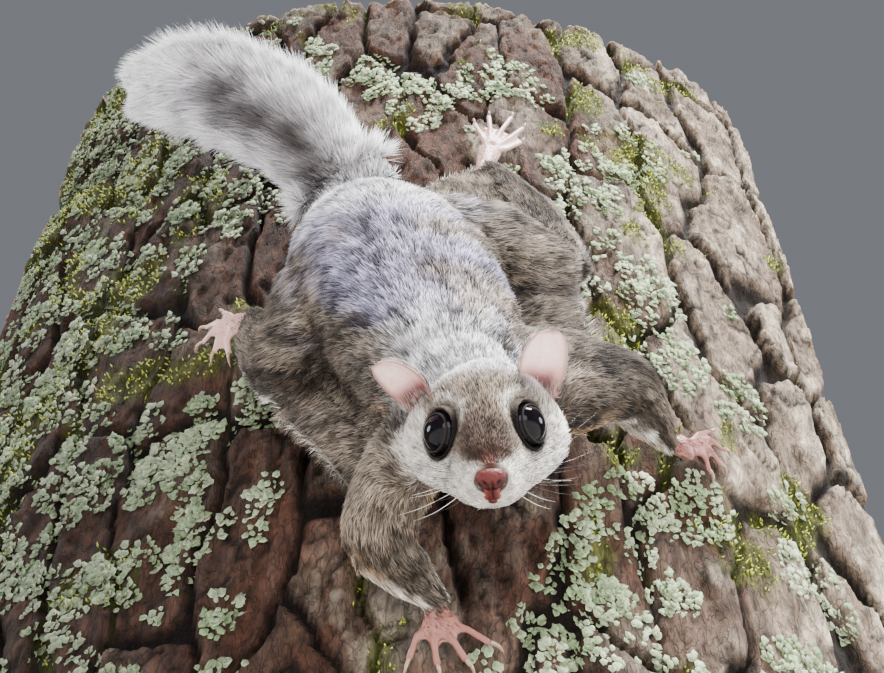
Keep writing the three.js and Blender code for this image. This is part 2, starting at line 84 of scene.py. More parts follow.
SIDES = {"right": -1, "left": 1}

# %% [markdown]
# ## The camera
# The photograph looks up the trunk at the animal from below, so the camera stands in front of
# the perch, tilted up by 45.5 degrees. Its place could be found by eye, but a few points of the
# head with known sizes fix it better. It is made first, because it decides what shows.

# %% Camera
CAMERA_PLACE = (12, -218, 60)
CAMERA_TILT = 45.5
PHOTO_WIDTH = 884
FOCAL_PIXELS = 1050
SENSOR_WIDTH = 36
NEAREST_SEEN = 0.01

bpy.ops.object.camera_add(
    location=[v * MM for v in CAMERA_PLACE],
    rotation=(math.radians(90 + CAMERA_TILT), 0, 0),
)
camera = bpy.context.object
camera.name = "camera"
camera.data.sensor_width = SENSOR_WIDTH
camera.data.lens = SENSOR_WIDTH * FOCAL_PIXELS / PHOTO_WIDTH
camera.data.clip_start = NEAREST_SEEN
bpy.context.scene.camera = camera
print("lens:", round(camera.data.lens, 2), "mm")

# %% [markdown]
# ## Places on the trunk and on the head
# The trunk is part of a cylinder, and every place on the animal was first found as x, z and a
# height above the bark. The head has its own frame: forward along the muzzle, left, and crown.
# Plain x, y and z would do as well, but in these frames a paw stays on the bark and an eye stays
# in the head when a size changes.

# %% Trunk and head frames
TRUNK_RADIUS = 200
TRUNK_AXIS_Y = 162


def on_bark(x, z, h):
    """Points at height h above the bark, in millimetres."""
    x, z, h = np.broadcast_arrays(np.asarray(x, float), z, h)
    return np.stack([x, TRUNK_AXIS_Y - np.sqrt((TRUNK_RADIUS + h) ** 2 - x**2), z], -1)


def height_above_bark(points):
    return np.hypot(points[:, 0], points[:, 1] - TRUNK_AXIS_Y) - TRUNK_RADIUS


def unit(v):
    v = np.asarray(v, float)
    return v / np.maximum(np.linalg.norm(v, axis=-1, keepdims=True), 1e-9)


EYES_MIDDLE = np.array([19.75, -72, 184.65])
HEAD_FORWARD = unit([0.03, -0.36, -0.933])
ROUGHLY_LEFT = np.array([0.995, -0.075, 0.06])
HEAD_LEFT = unit(ROUGHLY_LEFT - HEAD_FORWARD * (ROUGHLY_LEFT @ HEAD_FORWARD))
HEAD_CROWN = np.cross(HEAD_FORWARD, HEAD_LEFT)


def head_way(forward, left, crown):
    return unit(forward * HEAD_FORWARD + left * HEAD_LEFT + crown * HEAD_CROWN)


def on_head(forward, left, crown):
    return EYES_MIDDLE + forward * HEAD_FORWARD + left * HEAD_LEFT + crown * HEAD_CROWN


def to_head(points):
    """Distances forward, left and towards the crown from the middle between the eyes."""
    return (points - EYES_MIDDLE) @ np.stack([HEAD_FORWARD, HEAD_LEFT, HEAD_CROWN], 1)


print("nose tip:", np.round(on_head(16, 0, -2), 1))

# %% [markdown]
# ## Noise
# Skin, bark and coat vary smoothly from place to place. A texture node could do that for
# colours alone, but the shapes need the same numbers, so the noise is made here. It is value
# noise: random numbers on a lattice, blended between its corners, alike in every run.

# %% Noise
def lattice(ix, iy, iz, seed):
    n = (ix * 374761393 + iy * 668265263 + iz * 1440662683 + seed * 974711) & 0xFFFFFFFF
    n = ((n ^ (n >> 13)) * 1274126177) & 0xFFFFFFFF
    return ((n ^ (n >> 16)) & 0xFFFF) / 32767.5 - 1


def noise(points, cell, seed=0):
    """Smooth noise from -1 to 1, with lumps about one cell across."""
    p = np.asarray(points, float) / cell + 1000
    whole = np.floor(p).astype(np.int64)
    t = p - whole
    t = t * t * (3 - 2 * t)
    total = 0
    for dx in (0, 1):
        for dy in (0, 1):
            for dz in (0, 1):
                weight = (
                    (t[..., 0] if dx else 1 - t[..., 0])
                    * (t[..., 1] if dy else 1 - t[..., 1])
                    * (t[..., 2] if dz else 1 - t[..., 2])
                )
                value = lattice(whole[..., 0] + dx, whole[..., 1] + dy, whole[..., 2] + dz, seed)
                total = total + weight * value
    return total


def rough_noise(points, cell, octaves=4, seed=0):
    """Noise of several sizes on top of each other, each half as large and half as strong."""
    return sum(noise(points, cell / 2**i, seed + i) / 2**i for i in range(octaves))


def ramp(value, start, end):
    """0 before start, 1 after end, smooth between."""
    t = np.clip((value - start) / (end - start), 0, 1)
    return t * t * (3 - 2 * t)


def srgb(r, g, b):
    """A colour as seen on a screen, 0 to 255, as linear light."""
    c = np.array([r, g, b], float) / 255
    return np.where(c <= 0.04045, c / 12.92, ((c + 0.055) / 1.055) ** 2.4)


def blend_colours(a, b, share):
    share = np.asarray(share)[..., None]
    return a * (1 - share) + b * share


print("noise at the nose:", round(float(noise(on_head(16, 0, -2), 5)), 3))

# %% [markdown]
# ## Meshes from arrays
# Thousands of tufts could be copies of one object, but copies are slow and don't export well.
# They are quickest as one joined mesh, filled from arrays. These helpers make such a mesh, read
# and move its points, and give every point a colour.

# %% Mesh helpers
def deselect_all():
    for thing in bpy.context.view_layer.objects:
        if thing.select_get():
            thing.select_set(False)


def make_active(piece):
    deselect_all()
    piece.select_set(True)
    bpy.context.view_layer.objects.active = piece


def mesh_piece(name, points, triangles, smooth=True):
    """A mesh from points in millimetres and triangles."""
    mesh = bpy.data.meshes.new(name)
    mesh.vertices.add(len(points))
    mesh.vertices.foreach_set("co", (np.asarray(points) * MM).astype(np.float32).ravel())
    triangles = np.asarray(triangles, np.int32)
    mesh.loops.add(triangles.size)
    mesh.loops.foreach_set("vertex_index", triangles.ravel())
    mesh.polygons.add(len(triangles))
    mesh.polygons.foreach_set("loop_start", np.arange(0, triangles.size, 3, dtype=np.int32))
    if smooth:
        mesh.polygons.foreach_set("use_smooth", np.ones(len(triangles), bool))
    mesh.update(calc_edges=True)
    piece = bpy.data.objects.new(name, mesh)
    bpy.context.scene.collection.objects.link(piece)
    return piece


def get_points(piece):
    co = np.empty(len(piece.data.vertices) * 3, np.float32)
    piece.data.vertices.foreach_get("co", co)
    return co.reshape(-1, 3).astype(float) / MM


def set_points(piece, points):
    piece.data.vertices.foreach_set("co", (points * MM).astype(np.float32).ravel())
    piece.data.update()


def get_normals(piece):
    normals = np.empty(len(piece.data.vertices) * 3, np.float32)
    piece.data.vertex_normals.foreach_get("vector", normals)
    return normals.reshape(-1, 3).astype(float)


# The attribute that carries each piece's colours; on the animal, bark, lichen and moss these
# colours include painted light and painted shade.
MARKING_AND_PAINTED_LIGHT = "marking_and_painted_light"


def paint(piece, colours):
    """Gives each point of a mesh its colour, as an attribute that a material reads."""
    rgba = np.ones((len(colours), 4), np.float32)
    rgba[:, :3] = colours
    attribute = piece.data.attributes.get(MARKING_AND_PAINTED_LIGHT)
    attribute = attribute or piece.data.attributes.new(MARKING_AND_PAINTED_LIGHT, "FLOAT_COLOR", "POINT")
    attribute.data.foreach_set("color", rgba.ravel())


def apply_modifier(piece, kind, **settings):
    make_active(piece)
    modifier = piece.modifiers.new(kind.lower(), kind)
    for key, value in settings.items():
        setattr(modifier, key, value)
    bpy.ops.object.modifier_apply(modifier=modifier.name)


def join(pieces, name):
    deselect_all()
    for piece in pieces:
        piece.select_set(True)
    bpy.context.view_layer.objects.active = pieces[0]
    bpy.ops.object.join()
    pieces[0].name = name
    return pieces[0]


def face_outwards(piece):
    make_active(piece)
    bpy.ops.object.mode_set(mode="EDIT")
    bpy.ops.mesh.select_all(action="SELECT")
    bpy.ops.mesh.normals_make_consistent(inside=False)
    bpy.ops.object.mode_set(mode="OBJECT")


print("mesh helpers ready")

# %% [markdown]
# ## Tubes
# Claws, whiskers and the core of the tail are long, slim and round. A curve with a bevel could
# make them, but its ends stay open or blunt. Here rings of points are set along a smooth line,
# two smaller rings round off each end, and one last point closes it.

# %% Tubes
END_RINGS = [math.radians(40), math.radians(70)]


def smooth_line(places, i, f):
    """Places on a smooth curve through the given ones, at share f from place i to the next."""
    padded = np.vstack([2 * places[0] - places[1], places, 2 * places[-1] - places[-2]])
    p0, p1, p2, p3 = (padded[i + k] for k in range(4))
    return 0.5 * (2 * p1 + (p2 - p0) * f + (2 * p0 - 5 * p1 + 4 * p2 - p3) * f**2
                  + (3 * p1 - p0 - 3 * p2 + p3) * f**3)


def round_start(line, size, across, out, way, roundness):
    """Adds the two end rings before the first ring of a tube."""
    reach = size[0].min() * roundness
    extra_line = [line[0] + way * reach * math.sin(a) for a in reversed(END_RINGS)]
    extra_size = [size[0] * math.cos(a) for a in reversed(END_RINGS)]
    count = len(END_RINGS)
    return (np.vstack([extra_line, line]), np.vstack([extra_size, size]),
            np.vstack([np.repeat(across[[0]], count, 0), across]),
            np.vstack([np.repeat(out[[0]], count, 0), out]))


def ring_triangles(rows, sides):
    """Triangles between rings of equal count, with a fan at each end round two last points."""
    r, c = np.meshgrid(np.arange(rows - 1), np.arange(sides), indexing="ij")
    a, b = r * sides + c, r * sides + (c + 1) % sides
    d, e = a + sides, b + sides
    body = [np.stack([a, b, e], -1).reshape(-1, 3), np.stack([a, e, d], -1).reshape(-1, 3)]
    c = np.arange(sides)
    first, last = rows * sides, rows * sides + 1
    start = np.stack([np.full(sides, first), (c + 1) % sides, c], -1)
    top = (rows - 1) * sides
    end = np.stack([np.full(sides, last), top + c, top + (c + 1) % sides], -1)
    return np.vstack([*body, start, end])


def tube(stations, sides, facing, steps=4, ends=(1, 1)):
    """Points and triangles of a closed tube through stations of [place, half width, half depth]."""
    places = np.array([s[0] for s in stations], float)
    sizes = np.array([s[1:3] for s in stations], float)
    t = np.linspace(0, len(stations) - 1, (len(stations) - 1) * steps + 1)
    i = np.clip(t.astype(int), 0, len(stations) - 2)
    f = (t - i)[:, None]
    line = smooth_line(places, i, f)
    size = sizes[i] * (1 - f) + sizes[i + 1] * f
    forward = unit(np.gradient(line, axis=0))
    out = unit(facing - forward * (forward @ facing)[:, None])
    rings = line, size, np.cross(forward, out), out
    rings = round_start(*rings, -forward[0], ends[0])
    rings = [values[::-1] for values in rings]
    rings = round_start(*rings, forward[-1], ends[1])
    line, size, across, out = (values[::-1] for values in rings)
    angle = np.linspace(0, 2 * np.pi, sides, endpoint=False)
    points = (line[:, None] + across[:, None] * (size[:, 0, None] * np.cos(angle))[..., None]
              + out[:, None] * (size[:, 1, None] * np.sin(angle))[..., None])
    points = np.vstack([points.reshape(-1, 3), line[0], line[-1]])
    return points, ring_triangles(len(line), sides)


print("triangles of a tube with 3 rings of 8:", len(ring_triangles(3, 8)))

# %% [markdown]
# ## Materials
# Each finish is a small node tree: a colour that the mesh carries or that noise makes, a bump,
# and a Principled shader. Painted pictures would need files, so every pattern is worked out by
# nodes. The patterns read object coordinates, so they stay put on the model.

# %% Material helpers
def new_material(name, roughness=0.6, **constants):
    material = bpy.data.materials.new(name)
    material.use_nodes = True
    shader = material.node_tree.nodes["Principled BSDF"]
    shader.inputs["Roughness"].default_value = roughness
    for key, value in constants.items():
        shader.inputs[key.replace("_", " ")].default_value = value
    return material, material.node_tree, shader


def coordinates(tree, stretch=(1, 1, 1), shift=(0, 0, 0)):
    where = tree.nodes.new("ShaderNodeTexCoord")
    mapping = tree.nodes.new("ShaderNodeMapping")
    mapping.inputs["Location"].default_value = shift
    mapping.inputs["Scale"].default_value = stretch
    tree.links.new(where.outputs["Object"], mapping.inputs["Vector"])
    return mapping.outputs["Vector"]


def noise_node(tree, vector, scale, detail=4, roughness=0.6):
    node = tree.nodes.new("ShaderNodeTexNoise")
    node.inputs["Scale"].default_value = scale
    node.inputs["Detail"].default_value = detail
    node.inputs["Roughness"].default_value = roughness
    tree.links.new(vector, node.inputs["Vector"])
    return node.outputs["Fac"]


def colour_ramp(tree, factor, stops):
    node = tree.nodes.new("ShaderNodeValToRGB")
    elements = node.color_ramp.elements
    while len(elements) < len(stops):
        elements.new(0.5)
    for element, (position, colour) in zip(elements, stops):
        element.position = position
        element.color = (*colour, 1)
    tree.links.new(factor, node.inputs["Fac"])
    return node.outputs["Color"]


def mix(tree, kind, factor, a, b):
    """Blends two colours; each of them, and the factor, is an output or a constant."""
    node = tree.nodes.new("ShaderNodeMix")
    node.data_type = "RGBA"
    node.blend_type = kind
    for socket, value in ((node.inputs[0], factor), (node.inputs[6], a), (node.inputs[7], b)):
        if isinstance(value, bpy.types.NodeSocket):
            tree.links.new(value, socket)
        elif isinstance(value, (int, float)):
            socket.default_value = value
        else:
            socket.default_value = (*value, 1)
    return node.outputs[2]


def marking_and_light_colour(tree):
    node = tree.nodes.new("ShaderNodeAttribute")
    node.attribute_name = MARKING_AND_PAINTED_LIGHT
    return node.outputs["Color"]


def bump(tree, shader, height, strength, distance):
    node = tree.nodes.new("ShaderNodeBump")
    node.inputs["Strength"].default_value = strength
    node.inputs["Distance"].default_value = distance
    tree.links.new(height, node.inputs["Height"])
    tree.links.new(node.outputs["Normal"], shader.inputs["Normal"])


print("node helpers ready")

# %% [markdown]
# Fur, bare skin, lichen and moss each have a colour of their own at every place, and a fine
# unevenness. One function makes such a finish from the marking and from noise. Hair shines
# little, so its specular level is low, or the coat would look washed out under the lights.

# %% Finishes of the animal
def marked_material(name, scale, contrast, bump_mm, roughness, **constants):
    """A surface coloured by its marking attribute, with fine noise in its tone and bump."""
    material, tree, shader = new_material(name, roughness, **constants)
    fine = noise_node(tree, coordinates(tree), scale)
    tone = colour_ramp(tree, fine, [(0.25, (1 - contrast,) * 3), (0.75, (1 + contrast,) * 3)])
    colour = mix(tree, "MULTIPLY", 1.0, marking_and_light_colour(tree), tone)
    tree.links.new(colour, shader.inputs["Base Color"])
    if bump_mm:
        bump(tree, shader, fine, 1.0, bump_mm * MM)
    return material


skin_material = marked_material("short_fur_skin", 2600, 0.25, 0.25, 0.8, Specular_IOR_Level=0.1)
bare_material = marked_material("bare_pink_skin", 1500, 0.12, 0.12, 0.42, Subsurface_Weight=0.12,
                                Subsurface_Scale=0.002)
coat_material = marked_material("coat_hair", 900, 0.12, 0, 0.6, Specular_IOR_Level=0.15)
print("materials:", [m.name for m in (skin_material, bare_material, coat_material)])

# %% [markdown]
# ## One skin under the coat
# The animal is one body, so no seam may show between head, neck and limbs. Copies of the flesh
# solids are grown a little until they overlap, joined, and remeshed into one closed surface.
# Boolean unions would do it too, but leave sharp creases, which a voxel remesh rounds off. The
# tail keeps only a slim core, because its outline is all hair.

# %% Join the flesh into one closed skin
FLESH = ["head", "torso", "neck", "tail_root"]
FLESH += [f"{part}_{side}" for side in SIDES for part in (
    "thigh", "shin", "upper_arm", "forearm", "patagium", "hand", "foot")]
OVERLAP = 0.32
SKIN_VOXEL = 0.5

TAIL_FACING = unit([0.1, -0.82, -0.56])
BRUSH = [  # x, z, height over the bark, half width and half depth of the tail's brush
    [-15, 283.5, 19, 17.5, 6.5], [-24, 292, 25.5, 19, 6.5], [-36, 301.5, 30.5, 19.5, 6],
    [-50, 310.5, 34, 19, 5.5], [-62, 314.5, 35.5, 16, 5], [-71, 314, 36, 11, 4]]
CORE_SHARE, CORE_DEPTH_SHARE = 0.54, 0.6
MERGE_DISTANCE = 1e-5


def flesh_copy(name):
    mesh = nodes[name].data.copy()
    shape = bmesh.new()
    shape.from_mesh(mesh)
    bmesh.ops.remove_doubles(shape, verts=shape.verts, dist=MERGE_DISTANCE)
    shape.normal_update()
    for vertex in shape.verts:
        vertex.co += vertex.normal * OVERLAP * MM
    shape.to_mesh(mesh)
    shape.free()
    mesh.materials.clear()
    piece = bpy.data.objects.new("flesh_" + name, mesh)
    bpy.context.scene.collection.objects.link(piece)
    return piece


core = mesh_piece("flesh_tail_core", *tube(
    [[on_bark(x, z, h), w * CORE_SHARE, t * CORE_DEPTH_SHARE] for x, z, h, w, t in BRUSH],
    24, TAIL_FACING, ends=(0.2, 0.9)))
region_names = FLESH + ["tail_brush"]
region_points = [get_points(nodes[name]) for name in FLESH] + [get_points(core)]
skin = join([flesh_copy(name) for name in FLESH] + [core], "squirrel_skin")
skin.data.remesh_voxel_size = SKIN_VOXEL * MM
skin.data.use_remesh_preserve_volume = True
bpy.ops.object.voxel_remesh()
apply_modifier(skin, "SMOOTH", factor=0.5, iterations=5)
print("skin faces:", len(skin.data.polygons))

# %% [markdown]
# ## Which part of the animal is where
# The coat's length, lie and colour change from part to part. Vertex groups could be painted by
# hand, but the solids already say which part is where: each point of the skin takes the part of
# the nearest solid, and a value is softened over its neighbours, so that changes are gradual.

# %% Regions
region_tree_points = np.vstack(region_points)
region_labels = np.concatenate([np.full(len(p), i) for i, p in enumerate(region_points)])
region_tree = KDTree(len(region_tree_points))
for i, p in enumerate(region_tree_points):
    region_tree.insert(p, i)
region_tree.balance()


def nearest_region(points):
    return np.array([region_labels[region_tree.find(p)[1]] for p in points])


def share_of(labels, *names):
    wanted = [region_names.index(n) for n in names]
    return np.isin(labels, wanted).astype(float)


def edge_pairs(piece):
    pairs = np.empty(len(piece.data.edges) * 2, np.int32)
    piece.data.edges.foreach_get("vertices", pairs)
    return pairs.reshape(-1, 2)


def soften(values, pairs, rounds):
    """Averages a value over neighbouring points, several times."""
    values = np.array(values, float)
    count = np.bincount(pairs.ravel(), minlength=len(values)).astype(float)
    for _ in range(rounds):
        total = np.bincount(pairs[:, 0], values[pairs[:, 1]], len(values))
        total += np.bincount(pairs[:, 1], values[pairs[:, 0]], len(values))
        values = 0.5 * values + 0.5 * total / np.maximum(count, 1)
    return values


def sided(*parts):
    return [f"{part}_{side}" for part in parts for side in SIDES]


print("parts of the animal:", len(region_names))

# %% Depth of the coat
COAT_DEPTH = {"head": 0.8, "neck": 1.8, "torso": 2.3, "tail_root": 2.6, "tail_brush": 0}
LIMB_COAT_DEPTH = {"thigh": 2.2, "shin": 1.4, "upper_arm": 1.6, "forearm": 1.0,
                   "patagium": 1.4, "hand": 0.36, "foot": 0.3}
COAT_DEPTH.update({name: depth for part, depth in LIMB_COAT_DEPTH.items() for name in sided(part)})
DEPTH_ROUNDS = 12

labels = nearest_region(get_points(skin))
pairs = edge_pairs(skin)
depth = np.array([COAT_DEPTH[n] for n in region_names])[labels]
depth = soften(depth, pairs, DEPTH_ROUNDS) + OVERLAP
print("coat depth:", round(depth.min(), 2), "to", round(depth.max(), 2), "mm")

# %% [markdown]
# The skin lies inside the solids by the depth of the coat. Scaling it would thin the toes as
# much as the back, so every point moves inwards along its own normal, by the coat's depth at
# that place. A light smoothing takes out any crease that this makes.

# %% Move the skin inwards
points = get_points(skin)
set_points(skin, points - get_normals(skin) * depth[:, None])
apply_modifier(skin, "SMOOTH", factor=0.5, iterations=4)
print("skin box in mm:", np.round(np.ptp(get_points(skin), axis=0), 1))

# %% [markdown]
# ## Eyes and their sockets
# A flying squirrel's eyes are large, black and bulging. A hole could be cut in the skin for
# each, but then its edge would need closing. Instead the skin keeps all its points: they are
# pulled out to lie just over the ball, and pushed in behind its front where the eye opens.

# %% Eye places
EYE_RADIUS = 4.4
EYE_FORWARD, EYE_OUTWARD, EYE_UP = -0.9, 6.8, -0.9
GAZE_FORWARD, GAZE_OUTWARD, GAZE_UP = 0.42, 0.8, 0.43
EYE_OPENING = math.radians(51)
LID_SKIN = 0.25
SOCKET_REACH, SOCKET_DEPTH = 3.2, 1.6
SKIN_KEPT = 0.31


def eye_centre(side):
    return on_head(EYE_FORWARD, side * EYE_OUTWARD, EYE_UP)


def eye_gaze(side):
    return head_way(GAZE_FORWARD, side * GAZE_OUTWARD, GAZE_UP)


def fit_skin_to_eye(points, side):
    offset = points - eye_centre(side)
    reach = np.linalg.norm(offset, axis=1)
    angle = np.arccos(np.clip(unit(offset) @ eye_gaze(side), -1, 1))
    open_share = 1 - ramp(angle, EYE_OPENING - 0.06, EYE_OPENING + 0.02)
    near = reach < EYE_RADIUS + SOCKET_REACH
    front = 1 - ramp(angle, 1.45, 1.9)
    over_ball = np.maximum(reach, EYE_RADIUS + LID_SKIN)
    target = over_ball * (1 - open_share) + (EYE_RADIUS - SOCKET_DEPTH) * open_share
    moved = reach + (target - reach) * front
    return np.where(near[:, None], eye_centre(side) + unit(offset) * moved[:, None], points)


points = get_points(skin)
for side in SIDES.values():
    points = fit_skin_to_eye(points, side)
set_points(skin, points)
apply_modifier(skin, "DECIMATE", ratio=SKIN_KEPT)
print("skin triangles:", sum(len(p.vertices) - 2 for p in skin.data.polygons))

# %% [markdown]
# The ball itself starts as a primitive sphere, and the points near its front move out a little,
# as the cornea of a real eye does. A second clear shell could stand for the cornea, but in a
# dark eye it wouldn't show. The finish is near black and very smooth, as a wet eye is.

# %% Eyeballs
eye_material, tree, shader = new_material("wet_black_eye", 0.04, IOR=1.2)
ring = colour_ramp(tree, noise_node(tree, coordinates(tree), 700, 2),
                   [(0.3, srgb(5, 5, 8)), (0.8, srgb(16, 12, 16))])
tree.links.new(ring, shader.inputs["Base Color"])
CORNEA_BULGE = 0.25

for name, side in SIDES.items():
    bpy.ops.mesh.primitive_uv_sphere_add(segments=48, ring_count=32, radius=EYE_RADIUS * MM)
    eye = bpy.context.object
    eye.name = f"eyeball_{name}"
    ball = get_points(eye)
    front = np.clip(unit(ball) @ eye_gaze(side), 0, 1) ** 6
    set_points(eye, eye_centre(side) + ball * (1 + CORNEA_BULGE / EYE_RADIUS * front)[:, None])
    bpy.ops.object.shade_smooth()
    eye.data.materials.append(eye_material)
    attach(eye, "root")
    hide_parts(f"eye_{name}")
    print(eye.name, "points:", len(eye.data.vertices))

# %% [markdown]
# A thin bare rim of black skin runs round each opening. A torus would be even all round, so a
# closed ring is swept round the ball instead, thicker below and drawn out a little towards the
# nose, as real lids are.

# %% Lid rims
LID_RADIUS = 0.28
lid_material, tree, shader = new_material("black_lid_rim", 0.55, Specular_IOR_Level=0.1)
grain = colour_ramp(tree, noise_node(tree, coordinates(tree), 2500), [
    (0.3, srgb(10, 8, 8)), (0.7, srgb(26, 20, 19))])
tree.links.new(grain, shader.inputs["Base Color"])


def lid_rim(side, steps=56, sides=10):
    gaze = eye_gaze(side)
    nose_way = unit(HEAD_FORWARD - gaze * (HEAD_FORWARD @ gaze))
    crown_way = np.cross(nose_way, gaze)
    if crown_way @ HEAD_CROWN < 0:
        crown_way = -crown_way
    turn = np.linspace(0, 2 * np.pi, steps, endpoint=False)
    open_angle = EYE_OPENING * (1 + 0.03 * np.cos(turn) - 0.02 * np.cos(2 * turn))
    way = (np.cos(open_angle)[:, None] * gaze
           + np.sin(open_angle)[:, None] * (np.cos(turn)[:, None] * nose_way
                                            + np.sin(turn)[:, None] * crown_way))
    line = eye_centre(side) + way * (EYE_RADIUS + 0.12)
    radius = LID_RADIUS * (1 + 0.15 * np.cos(turn) ** 8 - 0.12 * np.sin(turn))
    along = unit(np.roll(line, -1, 0) - np.roll(line, 1, 0))
    across = np.cross(along, way)
    angle = np.linspace(0, 2 * np.pi, sides, endpoint=False)
    rings = (line[:, None] + radius[:, None, None] * (
        way[:, None] * np.cos(angle)[:, None] * 0.75 + across[:, None] * np.sin(angle)[:, None]))
    r, c = np.meshgrid(np.arange(steps), np.arange(sides), indexing="ij")
    a, b = r * sides + c, r * sides + (c + 1) % sides
    d, e = (r + 1) % steps * sides + c, (r + 1) % steps * sides + (c + 1) % sides
    triangles = np.vstack([np.stack([a, b, e], -1).reshape(-1, 3),
                           np.stack([a, e, d], -1).reshape(-1, 3)])
    return rings.reshape(-1, 3), triangles


for name, side in SIDES.items():
    rim = mesh_piece(f"lid_rim_{name}", *lid_rim(side))
    face_outwards(rim)
    rim.data.materials.append(lid_material)
    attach(rim, "root")
    print(rim.name, "triangles:", len(rim.data.polygons))

# %% [markdown]
# ## Nose
# The nose pad is bare, moist and red. It could be sculpted, but then no size of it has a name.
# Here a sphere is stretched to its size, and points are pushed in by formulas for the two
# comma-shaped nostrils and for the groove that runs down to the lip.

# %% Nose pad
NOSE_PLACE = (14.6, 0, -1.8)
NOSE_RADII = (1.9, 2.7, 2)
nose_material = marked_material("moist_nose_skin", 2200, 0.25, 0.22, 0.42,
                                Specular_IOR_Level=0.22, Coat_Weight=0.04, Coat_Roughness=0.2)
bpy.ops.mesh.primitive_ico_sphere_add(subdivisions=6, radius=MM)
nose = bpy.context.object
nose.name = "nose_pad"
ball = unit(get_points(nose))
f, l, c = ball[:, 0], ball[:, 1], ball[:, 2]
push = 1 + 0.08 * np.cos(l * 2.4) * f
groove = np.exp(-(l / 0.09) ** 2) * ramp(f, 0.2, 0.7) * (1 - ramp(c, 0.05, 0.5))
hole = sum(np.exp(-((l - s * (0.46 + 0.16 * c)) / 0.12) ** 2 - ((c - 0.02) / 0.26) ** 2)
           for s in (1, -1)) * ramp(f, 0.1, 0.5)
wing = sum(np.exp(-((l - s * 0.6) / 0.2) ** 2 - ((c - 0.1) / 0.35) ** 2) for s in (1, -1))
push = push - 0.16 * groove - 0.34 * hole + 0.07 * wing * ramp(f, 0, 0.4)
shape = ball * push[:, None] * NOSE_RADII
shape[:, 1] *= 1 + 0.2 * c
set_points(nose, on_head(*NOSE_PLACE) + shape[:, [0]] * HEAD_FORWARD
           + shape[:, [1]] * HEAD_LEFT + shape[:, [2]] * HEAD_CROWN)
red = blend_colours(srgb(48, 6, 6), srgb(78, 18, 15), ramp(c, -0.3, 0.9))
# Painted shade: the nostrils and the groove below them are a darker red.
red = blend_colours(red, srgb(34, 7, 8), np.clip(hole * 1.4 + groove * 0.8, 0, 1))
paint(nose, red)
bpy.ops.object.shade_smooth()
nose.data.materials.append(nose_material)
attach(nose, "root")
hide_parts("nose")
print("nose points:", len(nose.data.vertices))

# %% [markdown]
# Below the pad the bare skin goes on as a cleft upper lip, over a short lower lip. Two pieces
# would need a seam between them, so both are one ball, stretched, with points drawn in along
# the cleft and along the line of the mouth.

# %% Lips
LIP_PLACE = (14.3, 0, -4.5)
LIP_RADII = (1.8, 1.65, 2.2)
bpy.ops.mesh.primitive_ico_sphere_add(subdivisions=6, radius=MM)
lips = bpy.context.object
lips.name = "lips"
ball = unit(get_points(lips))
f, l, c = ball[:, 0], ball[:, 1], ball[:, 2]
front = ramp(f - 0.5 * c, 0.1, 0.8)
cleft = np.exp(-((l / 0.1) ** 2)) * front * ramp(c, -0.45, -0.3)
slit = np.exp(-(((c + 0.42 + 0.35 * l**2) / 0.09) ** 2)) * front
shape = ball * (1 - 0.2 * cleft - 0.24 * slit)[:, None] * LIP_RADII
set_points(lips, on_head(*LIP_PLACE) + shape[:, [0]] * HEAD_FORWARD
           + shape[:, [1]] * HEAD_LEFT + shape[:, [2]] * HEAD_CROWN)
red = blend_colours(srgb(58, 8, 8), srgb(112, 46, 39), ramp(np.abs(l), 0.35, 0.85))
# Painted shade: the cleft and the line of the mouth take a dark red.
paint(lips, blend_colours(red, srgb(70, 12, 14), np.clip(cleft + slit, 0, 1)))
bpy.ops.object.shade_smooth()
lips.data.materials.append(nose_material)
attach(lips, "root")
print("lip points:", len(lips.data.vertices))

# %% [markdown]
# ## Ears
# Each ear is a thin cupped petal, bare and pink inside with a red canal at its root. A plane
# with a Solidify modifier could make it, but the wall of a real ear is thick at its root, thin
# towards the edge, and has a fine rolled rim. So it is a grid of points with a front and a back,
# whose distance follows a formula, and it becomes part of the skin piece.

# %% Shape of an ear
EAR_WIDTH = 11
EARS = {
    "left": (on_head(-10, 11.5, 0), on_head(-14.5, 13.5, 12.2), head_way(0.8, 0.45, 0.3)),
    "right": (on_head(-8, -11, 1), on_head(-10, -17.5, 11.6), head_way(0.75, -0.65, 0)),
}
EAR_ROWS, EAR_COLUMNS = 44, 36


